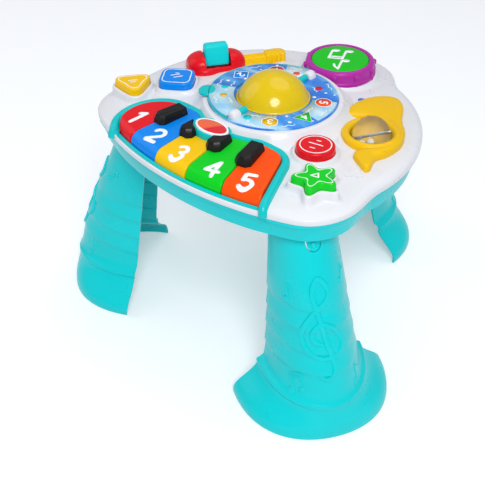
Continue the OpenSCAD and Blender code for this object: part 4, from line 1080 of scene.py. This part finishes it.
def number_shape(corners, at, turn):
    """Plain shape behind a printed number."""
    if not corners:
        return disc_shape(*at, NUMBER_R)
    r = NUMBER_R * SHAPE_GROW[corners]
    return turned(at, [(r * c, r * s) for c, s in circle(corners)], turn)


def disc_print(name, loops, colour, body, lift, thick=0.05):
    mark("print_" + name, loops, HALF_TOPS[body], colour, body, thick, lift)


def disc():
    """The fixed picture disc, the half that turns over with its pins' barrels, and the dome."""
    make("picture_disc", annulus(DOME_R + 1.8, DISC_R, 0, 360, DISC_TOP - 2.8, DISC_TOP, 0.5, 144), "printed",
         replaces=("page_base",))
    half = annulus(DOME_R + 3, DISC_R, PAGE_START, PAGE_END, DISC_TOP + PAGE_GAP, PAGE_TOP, 0.5, 96)
    page = make("turning_page", half, "printed_page", "page", replaces=("page_flap",))
    gap = []
    for side in (-1, 1):
        near = DISC_Y + side * PIN_START
        far = near + side * 30
        gap.append(solid_loft([[(-8.4, near, z), (8.4, near, z), (8.4, far, z), (-8.4, far, z)]
                               for z in (280, 296)]))
    cut(page, make("page_gap", join(*gap), "teal"))
    teal = annulus(DISC_R - 1.2, DISC_R + 0.25, PAGE_START, PAGE_END, DISC_TOP + 0.4, PAGE_TOP + 0.1, 0.4, 96)
    thumb = disc_shape(*polar(DISC_R + 1.5, -144), 10, 1.15, math.radians(-54), 48)
    parts = [teal, pillow(thumb, DISC_TOP + 0.35, flat(PAGE_TOP + 0.1), 1.1, 4)]
    # Barrels of the page round its two pins.
    for side in (-1, 1):
        parts.append(solid_loft([[(r * c, DISC_Y + side * y, PAGE_AXIS_Z + r * s) for c, s in circle(32)]
                                 for y, r in ((44.8, 3.1), (45.3, 3.7), (46, 3.9), (56, 3.9), (56.7, 3.7),
                                              (57.0, 3.1))]))
    make("page_edge", join(*parts), "frame_teal", "page")

    rise_r = (DOME_R ** 2 + DOME_RISE ** 2) / (2 * DOME_RISE)
    centre = DISC_TOP + DOME_RISE - rise_r
    profile = [(DOME_R + 1.4, DISC_TOP - 2), (DOME_R + 1.4, DISC_TOP - 0.3), (DOME_R + 0.9, DISC_TOP + 0.1),
               (DOME_R + 0.1, DISC_TOP + 0.25)]
    foot = math.degrees(math.asin((DISC_TOP + 0.8 - centre) / rise_r))
    profile += arc(0, centre, rise_r, foot, 89, 28)
    make("dome", revolve(profile, 0, DISC_Y, 128, True, True), "dome_yellow", replaces=("light_dome",))


def disc_prints():
    """What is printed on both halves of the disc."""
    for k, (body, a0, a1) in enumerate(FIELDS):
        field = arc(0, DISC_Y, DISC_R - 1.4, a0, a1, 40) + arc(0, DISC_Y, DOME_R + 4, a1, a0, 40)
        disc_print(f"field_{k}", [field], "printed_pale", body, 0.02, 0.03)
    for value, corners, colour, r, angle in NUMBERS:
        at = polar(r, angle)
        body = "page" if at[0] < 0 else "root"
        turn = math.radians(angle - 180 if at[0] < 0 else angle)
        shape = number_shape(corners, at, turn)
        disc_print(f"shape_{value}", [shape], colour, body, 0.04)
        disc_print(f"edge_{value}", stroke(shape + shape[:2], 0.8), "ink_white", body, 0.08)
        digit = glyph(DIGITS[value], [], at, 9.5, turn - math.pi / 2, 0.19)
        disc_print(f"number_{value}", digit, "ink_white", body, 0.1)
    waves = [(body, r, angle) for body, places in WAVES.items() for r, angle in places]
    for k, (body, r, angle) in enumerate(waves):
        line = [polar(r + 1.2 * math.sin(s * 1.25), angle + (s - 4) * 1.6) for s in range(9)]
        disc_print(f"wave_{k}", stroke(line, 0.9), "ink_white", body, 0.05)
    for name, body, places in (("bubble", "root", BUBBLES), ("spot", "page", SPOTS)):
        for k, place in enumerate(places):
            spot = disc_shape(*polar(*place), 1.2 + 0.5 * (k % 3))
            disc_print(f"{name}_{k}", [spot], "ink_white", body, 0.06)
    for name, body, places in (("dot", "root", DOTS), ("fish", "page", FISHES)):
        for k, (r, angle, colour, size) in enumerate(places):
            disc_print(f"{name}_{k}", [disc_shape(*polar(r, angle), size)], colour, body, 0.04)


# ---------- drum ----------
def drum():
    """Purple hoop with its lugs, and the green head that can be pressed."""
    profile = [(38, DRUM_SEAT + 0.2), (43.0, DRUM_SEAT + 0.2), (43.4, DRUM_SEAT + 1.0),
               (43.3, DRUM_SEAT + 3.6), (42.6, DRUM_SEAT + 4.6), (41.5, DRUM_SEAT + 5.2),
               (41.3, DRUM_TOP - 6), (41.5, DRUM_TOP - 4.2), (41.0, DRUM_TOP - 2.0), (39.8, DRUM_TOP - 0.4),
               (38.4, DRUM_TOP + 0.4), (36.6, DRUM_TOP + 0.6), (35.4, DRUM_TOP + 0.3),
               (34.7, DRUM_TOP - 0.5), (34.6, DRUM_TOP - 3.0)]
    lug = [(2.9, DRUM_SEAT + 0.4), (3.1, DRUM_SEAT + 1.4), (3.0, DRUM_SEAT + 3.6), (2.2, DRUM_SEAT + 5.0),
           (2.1, DRUM_TOP - 9.4), (2.7, DRUM_TOP - 8.4), (3.2, DRUM_TOP - 6.8), (3.2, DRUM_TOP - 5.2),
           (2.8, DRUM_TOP - 3.8), (1.9, DRUM_TOP - 3.0), (0.8, DRUM_TOP - 2.7)]
    parts = [revolve(profile, *DRUM, 160)]
    lug_r = DRUM_RING_R - 0.2
    for x, y in turned(DRUM, [(lug_r * c, lug_r * s) for c, s in circle(10)], math.radians(12)):
        parts.append(revolve(lug, x, y, 24, True, True))
    make("drum_hoop", join(*parts), "purple", replaces=("drum_ring",), angle=40)
    head = [(DRUM_HEAD_R, DRUM_TOP - 6), (DRUM_HEAD_R, DRUM_TOP - 1.2), (33.9, DRUM_TOP - 0.6),
            (33.2, DRUM_TOP - 0.2), (32, DRUM_TOP), (26, DRUM_TOP + 0.35), (16, DRUM_TOP + 0.6),
            (5, DRUM_TOP + 0.7)]
    make("drum_skin", revolve(head, *DRUM, 128, True, True), "drum_skin", "drum_pad",
         replaces=("drum_head",))

    def on_drum(x, y):
        r = math.hypot(x - DRUM[0], y - DRUM[1])
        return DRUM_TOP + 0.7 - 0.7 * (r / 32) ** 2

    for name, kind, dx, dy, size in (("drum_notes", "pair", -4, 9, 29), ("drum_note", "note", 10, -12, 28)):
        loops = glyph(*MUSIC[kind], (DRUM[0] + dx, DRUM[1] + dy), size, math.radians(205), 0.1)
        mark(name, loops, on_drum, "ink_white", "drum_pad", 0.2, 0.16)


# ---------- guitar ----------
GUITAR_LOW = 262.0
GUITAR_TOP = 277.0
# Half length, half width and floor of the pocket that lets the strum bar's foot swing.
POCKET = (16.4, 14.2, 269.8)
# The two humps beside the strum bar start this far out and are this long.
HUMP_START = 15.8
HUMP_LENGTH = 19.4
BAR_HALF = 14.7
BAR_CORNER = 2.6


def at_guitar(points):
    return turned(GUITAR, points, GUITAR_TURN)


def guitar_shell():
    """Red body, with a pocket for the strum bar and a hump on either side of it."""
    joint = [(2, -18.6), (9, -16.8)]
    outline = arc(-14, 0, 22, 55, 305, 30) + joint + arc(18, 0, 18, -62, 62, 18)
    outline += [(x, -y) for x, y in joint[::-1]]
    pocket_x, pocket_y, floor = POCKET

    def shell_top(x, y):
        (along, across), = turned((0, 0), [(x - GUITAR[0], y - GUITAR[1])], -GUITAR_TURN)
        return floor if abs(along) < pocket_x and abs(across) < pocket_y else GUITAR_TOP

    parts = [pillow(at_guitar(smooth_loop(outline[::2], 3)), GUITAR_LOW, shell_top, 3.2, 2.2)]
    for side, width in ((-1, 19.5), (1, 16.0)):
        rings = []
        for k in range(15):
            reach = HUMP_LENGTH * math.sin(math.pi / 2 * k / 14)
            x = side * (HUMP_START + reach)
            fall = math.sqrt(max(1 - (reach / 19.8) ** 2, 0))
            half = width * (0.35 + 0.65 * fall)
            top = 14.0 * (0.12 + 0.88 * fall) + (0 if k else -0.5)
            ring = [(x, across, 276.0 + up) for across, up in hump(half, top, 0.75, 0.85, 10)]
            rings.append(at_guitar(ring + [(x, -half, 270.0), (x, half, 270.0)]))
        parts.append(solid_loft(rings))
    make("guitar_shell", join(*parts), "red", replaces=("guitar_body",), angle=40)


def guitar_arm():
    """Yellow neck and head, with three strings."""
    neck = [(32, -6.2), (50, -5.9), (67, -6.2), (67, 6.2), (50, 5.9), (32, 6.2)]
    head = [(62, 6.2), (67, 8.6), (74, 10.0), (81, 9.4), (86.5, 6.6), (88.8, 1.5), (87.6, -4.5), (85, -7.6),
            (82, -6.8), (79.5, -9.4), (76.5, -7.4), (73.8, -9.8), (70.6, -7.6), (67.6, -9.4), (64.6, -7.0),
            (62, -6.2)]
    parts = [pillow(at_guitar(divided(neck + neck[:1], 5)[:-1]), GUITAR_LOW, flat(279.0), 1.8, 6),
             pillow(at_guitar(smooth_loop(head, 4)), GUITAR_LOW, flat(281.5), 3.0, 5)]
    string = [(-0.7, -0.4), (0.7, -0.4), (0.5, 0.35), (-0.5, 0.35)]
    for y in (-3.2, 0, 3.2):
        parts.append(sweep(at_guitar([(x, y, 279.1) for x in (35, 52, 65)]), [(0, 0, 1)] * 3, string))
    make("guitar_arm", join(*parts), "yellow", replaces=("guitar_neck",), angle=40)


def strum_bar():
    """The teal bar that rocks in the guitar's body."""
    rings = []
    for half, z, grow in ((4.0, 273.4, 0), (8.2, 274.8, 0), (11.3, 277.8, 0), (10.6, 284, 0), (8.6, 291, 0),
                          (7.0, 296.6, -0.1), (6.4, 298.8, -0.4), (5.4, 300.4, -1.2), (4.0, 301, -2.4)):
        x = BAR_HALF + grow - BAR_CORNER
        y = half - BAR_CORNER
        ring = []
        for k, (cx, cy) in enumerate(((x, y), (-x, y), (-x, -y), (x, -y))):
            ring += [p + (z,) for p in arc(cx, cy, BAR_CORNER, 90 * k, 90 * k + 90, 6)]
        rings.append(at_guitar(ring))
    make("strum_bar", solid_loft(rings), "teal", "paddle", replaces=("strum_paddle",), angle=50)


# ---------- horn and rattle ball ----------
HORN_LOW = 262
BELL = [(-44, 15), (-50, 25), (-52, 40), (-49, 56), (-41, 70), (-31, 78), (-20, 79), (-9, 71), (-1, 60),
        (5, 49), (14, 37), (4, 27), (-10, 27), (-24, 25), (-35, 19)]
HORN_NECK = [(-2, 44), (12, 40), (24, 29), (33, 12), (35.5, -6), (34, -20), (27, -33), (14, -31), (22, -12),
             (22, 6), (12, 20), (-4, 27)]
MOUTHPIECE = [(34, -18), (31, -34), (37, -51), (33, -57), (22, -52), (11, -46), (9, -38), (14, -28)]
BALL_TURN = math.radians(62)


def horn():
    """Yellow horn coiled round the rattle ball."""
    def bell_top(x, y):
        lift = math.hypot(x - BALL[0], y - BALL[1]) - 26
        return 275.2 + 2.2 * max(0, min(1, lift / 30))

    parts = []
    forms = ((BELL, bell_top, 3.4), (HORN_NECK, flat(276.0), 4.2), (MOUTHPIECE, flat(275.6), 4.2))
    for outline, top, edge in forms:
        loop = smooth_loop([(BALL[0] + x, BALL[1] + y) for x, y in outline], 5)
        parts.append(pillow(loop, HORN_LOW, top, edge, 6))
    # Coiled tube round the ball, and the bowl under it.
    middle = COIL_R + HORN_TUBE / 2
    half = HORN_TUBE / 2 - 0.2
    profile = [(COIL_R + 0.2, HORN_LOW), (COIL_R + 0.2, HORN_TOP - 5)]
    profile += [(middle + half * c, HORN_TOP - 5 + 5 * s) for c, s in arc(0, 0, 1, 170, 0, 17)]
    parts.append(revolve(profile + [(middle + half, HORN_LOW)], BALL[0], BALL[1], 128))
    bowl = arc(0, BALL[2], 22.4, -4, -82, 13) + arc(0, BALL[2], 23.0, -86, -8, 13)
    parts.append(revolve(bowl, BALL[0], BALL[1], 96))
    make("horn_shell", join(*parts), "horn_yellow", replaces=("horn",), angle=45)


def rattle_ball():
    """Clear ball of two halves, with a seam round its middle."""
    axis = Vector((math.cos(BALL_TURN), math.sin(BALL_TURN), 0))
    side = Vector((-math.sin(BALL_TURN), math.cos(BALL_TURN), 0))

    def skin(r, seam, way, count):
        rings = []
        for k in range(-count, count + 1):
            lat = k * math.pi / 2 / (count + 0.6)
            here = r + (0 if k else seam)
            middle = Vector(BALL) + axis * (here * math.sin(lat))
            ring_r = here * math.cos(lat)
            rings.append([tuple(middle + side * (ring_r * c) + Vector((0, 0, way * ring_r * s)))
                          for c, s in circle(64)])
        return solid_loft(rings)

    shape = join(skin(BALL_R, 0.25, 1, 22), skin(BALL_R - 1.6, 0.0, -1, 16))
    make("rattle_shell", shape, "clear", "ball", replaces=("rattle_ball",), angle=80)


# ---------- legs ----------
LEG_TOP_U = 137.0
FOOT_U = 162.0
BEAD_Z = 42.0
LEG_SLOPE = math.atan((FOOT_U - LEG_TOP_U) / (APRON_Z - BEAD_Z))
# The leg straightens over this last share of its length.
STRAIGHT_SHARE = 0.12
LEG_START = -0.07
LEG_STEPS = (0.465, 0.59, 0.72, 0.85)
LEG_TURN = math.radians(4)
LEG_LEAN = 0.0556
TURN_FULL_Z = 45.0
LEAN_START_Z = 53.0
FOOT_FULL = 0.035
FOOT_FULL_Z = 30.0
LEG_COLUMNS = 56
WALL = 3.0
TAB_DOT_Z = 212.0
TAB_TOP_Z = 238.0
TAB_HALF = 7.0
# Radius that turns a distance across the tab into a direction round the leg.
TAB_ARC = 36.0
# The same for the raised notes.
NOTE_ARC = 46.0
# Height, half width and depth of a leg's U-shaped section.
LEG_SECTIONS = [(245.0, 33.5, 37.0), (229.0, 34.5, 41.0), (200.0, 36.5, 47.0), (176.0, 38.5, 53.0),
                (139.0, 42.0, 65.0), (88.0, 47.5, 77.5), (66.0, 50.0, 82.5), (50.0, 53.5, 86.0),
                (47.0, 56.0, 87.5)]
# The bead and the flared foot, in the same terms.
FOOT_SECTIONS = [(47.0, 58.0, 87.6), (46.2, 60.4, 88.4), (45.2, 61.6, 89.2), (43.6, 62.4, 89.9),
                 (41.8, 62.5, 90.0), (40.4, 62.0, 89.6), (39.4, 61.5, 89.0), (38.2, 62.0, 89.1),
                 (35.5, 63.8, 89.5), (31.5, 67.5, 90.4), (27.0, 72.6, 91.6), (22.6, 78.4, 92.8),
                 (18.4, 83.8, 93.8), (14.6, 87.6, 94.5), (11.0, 89.8, 95.0), (7.4, 90.6, 95.2),
                 (2.2, 90.8, 95.3), (0.8, 90.4, 95.0), (0.0, 89.5, 94.0)]
# The clef's line as directions round the leg and heights.
CLEF = [(-0.05, 106.0), (-0.25, 109.0), (-0.27, 120.0), (-0.05, 128.0), (0.24, 121.0), (0.41, 105.0),
        (0.27, 93.0), (-0.12, 90.0), (-0.42, 98.0), (-0.53, 115.0), (-0.36, 132.0), (-0.09, 145.0),
        (0.15, 153.0), (0.22, 163.0), (0.02, 176.0), (-0.15, 169.0), (-0.19, 157.0), (-0.12, 142.0),
        (-0.02, 118.0), (0.09, 94.0), (0.15, 79.0), (0.05, 68.0), (-0.09, 66.0), (-0.22, 71.0)]


def leg_section(z):
    """Half width and depth of a leg at a height."""
    for a, b in zip(LEG_SECTIONS, LEG_SECTIONS[1:]):
        if z >= b[0]:
            return between(a, b, (a[0] - min(z, a[0])) / (a[0] - b[0]))[1:]
    return LEG_SECTIONS[-1][1:]


def leg_profile():
    """The leg's outer form from the top down: centre along the leg, height, tilt, half width and depth."""
    out = []

    def add(t, extra):
        z = APRON_Z - t * (APRON_Z - BEAD_Z)
        half, depth = leg_section(z)
        tilt = LEG_SLOPE * min(1, max(0, (1.0 - t) / STRAIGHT_SHARE))
        out.append((LEG_TOP_U + t * (FOOT_U - LEG_TOP_U), z, tilt, half + extra, depth + extra))

    start = LEG_START
    for edge in LEG_STEPS:
        for k in range(4):
            add(start + (edge - start) * k / 4 + 0.002, 1.6 * k / 4)
        for back, extra in ((0.008, 1.5), (0.003, 1.2), (0, 0.2)):
            add(edge - back, extra)
        start = edge
    for t in (0.852, 0.88, 0.91, 0.94, 0.96):
        add(t, 0)
    return out + [(FOOT_U, z, 0.0, half, depth) for z, half, depth in FOOT_SECTIONS]


def leg_point(angle, centre_u, z, tilt, half, depth, phi):
    """A point of a leg's section; the front legs lean and turn a little towards the keyboard."""
    side = 0 if angle == 90 else (-1 if angle > -90 else 1)
    turn = side * LEG_TURN * min(1.0, max(0.0, z / TURN_FULL_Z))
    # The foot's corners are fuller than an ellipse's.
    full = 1.0 + FOOT_FULL * max(0.0, 1.0 - z / FOOT_FULL_Z) * math.sin(2 * phi) ** 2
    reach = depth * math.cos(phi) * full
    across = half * math.sin(phi) * full
    lean = side * LEG_LEAN * max(0.0, z - LEAN_START_Z)
    u = centre_u + reach * math.cos(tilt) * math.cos(turn) - across * math.sin(turn)
    v = reach * math.cos(tilt) * math.sin(turn) + across * math.cos(turn) + lean
    (x, y), = turned((0, 0), [(u, v)], math.radians(angle))
    return x, y, z + reach * math.sin(tilt)


LEG_PROFILE = leg_profile()


def leg_surface(angle, down, phi, lift=0.0):
    """A point on the leg's outer face: down is the height of the centre line, phi the direction round it."""
    found = LEG_PROFILE[-1]
    for a, b in zip(LEG_PROFILE, LEG_PROFILE[1:]):
        if a[1] >= down >= b[1] and a[1] > b[1]:
            found = between(a, b, (a[1] - down) / (a[1] - b[1]))
            break
    u, z, tilt, half, depth = found
    return Vector(leg_point(angle, u, z, tilt, half + lift, depth + lift, phi))


def relief(angle, points, width, height):
    """A raised line on a leg through directions and heights, with rounded cross-section and soft ends."""
    path, ups, sections = [], [], []
    for k, (at_phi, z) in enumerate(points):
        path.append(leg_surface(angle, z, at_phi, -0.1))
        ups.append(leg_surface(angle, z, at_phi, 10.0) - path[-1])
        soft = min(1.0, 0.45 + 0.55 * min(k, len(points) - 1 - k) / 3)
        half = width / 2 * soft
        sections.append(hump(half, height * soft, 1, 0.7, 30) + [(-half, -0.8), (half, -0.8)])
    return sweep(path, ups, sections)


def relief_note(angle, down, phi, size, turn, kind):
    """A raised note on a leg: its lines and its oval heads."""
    lines, heads = MUSIC[kind]

    def on_leg(x, y):
        (u, v), = turned((0, 0), [(size * (x - 0.4), size * (y - 0.5))], turn)
        return phi + u / NOTE_ARC, down + v * math.cos(LEG_SLOPE)

    parts = [relief(angle, [on_leg(*p) for p in divided(line, 4)], 0.15 * size, 1.6) for line in lines]
    for x, y in heads:
        rings = []
        for grow, lift in ((1.0, -0.5), (0.98, 0.5), (0.8, 1.2), (0.45, 1.6), (0.1, 1.75)):
            places = [on_leg(x + 0.19 * grow * c, y + 0.14 * grow * s) for c, s in circle(20)]
            rings.append([tuple(leg_surface(angle, z, at_phi, lift)) for at_phi, z in places])
        parts.append(solid_loft(rings))
    return parts


def tab_form(angle, grow, low, high):
    """The release tab's U-shaped form through the leg's wall, between two distances from its face."""
    width = TAB_HALF + grow
    loop = arc(0, TAB_DOT_Z, width, 180, 360, 20) + [(width, TAB_TOP_Z + grow), (-width, TAB_TOP_Z + grow)]
    return solid_loft([[tuple(leg_surface(angle, z, -x / TAB_ARC, lift)) for x, z in loop]
                       for lift in (low, high)])


def leg(place, angle):
    """A leg with its lining and open back, its raised marks, and its release tab."""
    def skin(profile):
        around = [math.pi * (k / LEG_COLUMNS - 0.5) for k in range(LEG_COLUMNS + 1)]
        return [[leg_point(angle, *p, phi) for phi in around] for p in profile]

    lining = [(u, z, tilt, half - WALL, depth - WALL) for u, z, tilt, half, depth in LEG_PROFILE if z > 4.0]
    lining = [p for k, p in enumerate(lining) if k % 2 == 0 or p[1] < 36]
    low = lining[-1]
    lining.append((low[0], 0.0, 0.0, low[3], low[4]))
    outer, inner = skin(LEG_PROFILE), skin(lining)
    shell = [loft(rings, False) for rings in (outer, inner, [outer[0], inner[0]], [outer[-1], inner[-1]])]
    # The two long edges of the open back.
    for side in (0, -1):
        loop = [ring[side] for ring in outer] + [ring[side] for ring in inner][::-1]
        shell.append((loop, [tuple(range(len(loop)))]))
    piece = make("leg_shell_" + place, join(*shell), "teal", replaces=("leg_" + place,), angle=30)
    cut(piece, make("tab_slot", tab_form(angle, 1.3, -8, 8), "teal"))
    parts = [relief(angle, smooth_loop(CLEF, 5, False), 6.0, 2.2)]
    for down, phi, size, turn, kind in ((157.0, -0.78, 22.0, 0.2, "note"), (171.0, 0.8, 20.0, -0.2, "note"),
                                        (57.0, -0.7, 18.0, 0.3, "pair"), (57.0, 0.76, 18.0, 0.1, "note")):
        parts += relief_note(angle, down, phi, size, turn, kind)
    make("leg_marks_" + place, join(*parts), "teal")
    dot = [[tuple(leg_surface(angle, TAB_DOT_Z + r * s, r * c / TAB_ARC, lift)) for c, s in circle(24)]
           for r, lift in ((3.3, -0.4), (3.2, 0.9), (2.6, 1.7), (1.5, 2.2), (0.4, 2.35))]
    make("tab_" + place, join(tab_form(angle, 0.0, -WALL, 0.0), solid_loft(dot)), "teal",
         "tab_" + place, replaces=("release_tab_" + place,), angle=30)


# ---------- teal housing ----------
def apron():
    """Outer skin of the teal housing under the top."""
    levels = [(8.0, 231.5), (9.6, 230.0), (9.3, 228.9), (8.4, 228.75), (7.7, 229.2), (7.4, 230.4), (6.4, 238),
              (5.3, 246), (4.9, 249.6), (4.0, 250.2), (2.4, 250.4), (1.9, 250.9), (1.8, 252.7), (3.0, 252.95)]
    rings = [[p + (z,) for p in rim_ring(inset)] for inset, z in levels]
    make("housing_skin", loft(rings), "teal", angle=38)


# ---------- carried-over construction ----------
def dress_frame():
    """Every construction node gets the finish of its own slot."""
    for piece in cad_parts.values():
        for k, slot in enumerate(piece.material_slots):
            old = slot.material.name.split(".")[0] if slot.material else ""
            piece.data.materials[k] = MATERIALS[old if old in MATERIALS else "black_inner"]


# ---------- deck marks ----------
DECK_NOTES = [((101, 0), 19, 0.9, "note"), ((144, -32), 20, 0.6, "pair"), ((-152, -38), 18, 0.4, "note"),
              ((-70, 92), 18, 0.2, "pair"), ((60, 113), 18, 0.9, "note")]
DECK_LEAF = [(50, 75), (54, 80), (62, 78.5), (66.5, 71.5), (63, 66.5), (56, 69.5)]


def deck_marks():
    """Raised notes and two printed spots on the white top."""
    parts = []
    for at, size, turn, kind in DECK_NOTES:
        verts, faces = fill(glyph(*MUSIC[kind], at, size, turn, 0.16))
        parts.append(([(x, y, top_z(x, y) + 0.9) for x, y in verts], faces))
    make("deck_notes", join(*parts), "white", bevel=0.35, solid=1.4)
    mark("deck_leaf", [smooth_loop(DECK_LEAF, 5)], top_z, "teal", "root", 0.1, 0.08)
    mark("deck_spot", [disc_shape(62, 90, 4.8)], top_z, "blue", "root", 0.1, 0.08)


# ---------- stage, light and camera ----------
FLOOR_GLOW = 0.32
WORLD_LIGHT = 0.44
LIGHT_TARGET = Vector((0, -0.05, 0.2))
# Name, place in metres, width in metres and power in watts.
LIGHTS = [("key_light", (1.05, -1.0, 1.6), 0.9, 25), ("fill_light", (-1.4, -0.6, 1.2), 1.4, 4),
          ("top_light", (0.0, 0.6, 1.9), 1.5, 6)]
CAMERA_PLACE = Vector((0.58012, -0.69938, 0.76806))
CAMERA_TARGET = Vector((0.0, -0.08909, 0.09847))
CAMERA_LENS = 65.33
CAMERA_SHIFT = (0.005, -0.004)


def stage_material(name, code, shown):
    """Floor that looks bright where the camera, gloss or glass sees it, and keeps its shadows."""
    material, tree, shader, place = node_material(name)
    colour = linear(code)
    drift_between(tree, noise(tree, place, 1.5, 2.0), shader, shade(colour, 0.99), colour)
    settings(shader, {"Roughness": 0.7, "Emission Color": (1, 1, 1, 1)})
    path = tree.nodes.new("ShaderNodeLightPath")
    seen = path.outputs["Is Camera Ray"]
    for ray in ("Is Glossy Ray", "Is Transmission Ray"):
        either = tree.nodes.new("ShaderNodeMath")
        either.operation = "MAXIMUM"
        tree.links.new(seen, either.inputs[0])
        tree.links.new(path.outputs[ray], either.inputs[1])
        seen = either.outputs["Value"]
    strength = tree.nodes.new("ShaderNodeMath")
    strength.operation = "MULTIPLY"
    strength.inputs[1].default_value = shown
    tree.links.new(seen, strength.inputs[0])
    tree.links.new(strength.outputs["Value"], shader.inputs["Emission Strength"])
    return material


def build_world():
    """White where the camera sees it, and a softer light on the table."""
    world = bpy.data.worlds.new("studio")
    bpy.context.scene.world = world
    world.use_nodes = True
    tree = world.node_tree
    tree.nodes.clear()
    out = tree.nodes.new("ShaderNodeOutputWorld")
    path = tree.nodes.new("ShaderNodeLightPath")
    mix = tree.nodes.new("ShaderNodeMixShader")
    tree.links.new(path.outputs["Is Camera Ray"], mix.inputs["Fac"])
    for socket, colour, strength in ((1, linear("#F2F5FA"), WORLD_LIGHT), (2, (1, 1, 1, 1), 1.0)):
        background = tree.nodes.new("ShaderNodeBackground")
        settings(background, {"Color": colour, "Strength": strength})
        tree.links.new(background.outputs["Background"], mix.inputs[socket])
    tree.links.new(mix.outputs["Shader"], out.inputs["Surface"])


def aim(piece, at, target):
    """Places a lamp or the camera and turns it to a target."""
    piece.location = at
    piece.rotation_euler = (target - Vector(at)).to_track_quat("-Z", "Y").to_euler()


def build_stage():
    """Floor, world and lamps."""
    bpy.ops.mesh.primitive_plane_add(size=14, location=(0, 0, -0.0004))
    floor = bpy.context.object
    floor.name = "floor"
    floor.data.materials.append(stage_material("floor_pale", "#E6E8EC", FLOOR_GLOW))
    build_world()
    for name, at, size, power in LIGHTS:
        light = bpy.data.lights.new(name, "AREA")
        light.shape = "DISK"
        light.size = size
        light.energy = power
        light.specular_factor = 0.6
        lamp = bpy.data.objects.new(name, light)
        bpy.context.scene.collection.objects.link(lamp)
        aim(lamp, at, LIGHT_TARGET)
    bpy.context.scene.view_settings.view_transform = "Standard"


def build_camera():
    """The photo's camera."""
    camera = bpy.data.cameras.new("photo_camera")
    camera.sensor_fit = "HORIZONTAL"
    camera.sensor_width = 36.0
    camera.lens = CAMERA_LENS
    camera.shift_x, camera.shift_y = CAMERA_SHIFT
    eye = bpy.data.objects.new("photo_camera", camera)
    bpy.context.scene.collection.objects.link(eye)
    aim(eye, CAMERA_PLACE, CAMERA_TARGET)
    bpy.context.scene.camera = eye


build_camera()
build_stage()
dress_frame()
top_shell()
apron()
keyboard_frame()
for number, key_colour in enumerate(("red", "blue", "yellow", "green", "orange")):
    key(number, key_colour)
key_digits()
for number in range(4):
    black_key(number)
badge()
disc()
disc_prints()
drum()
guitar_shell()
guitar_arm()
strum_bar()
horn()
rattle_ball()
for (shape_kind, shape_x, shape_y), shape_colour in zip(BUTTONS, ("red", "green", "blue", "yellow")):
    button_cap(shape_kind, shape_x, shape_y, shape_colour)
for leg_place, leg_angle in LEG_ANGLES.items():
    leg(leg_place, leg_angle)
deck_marks()
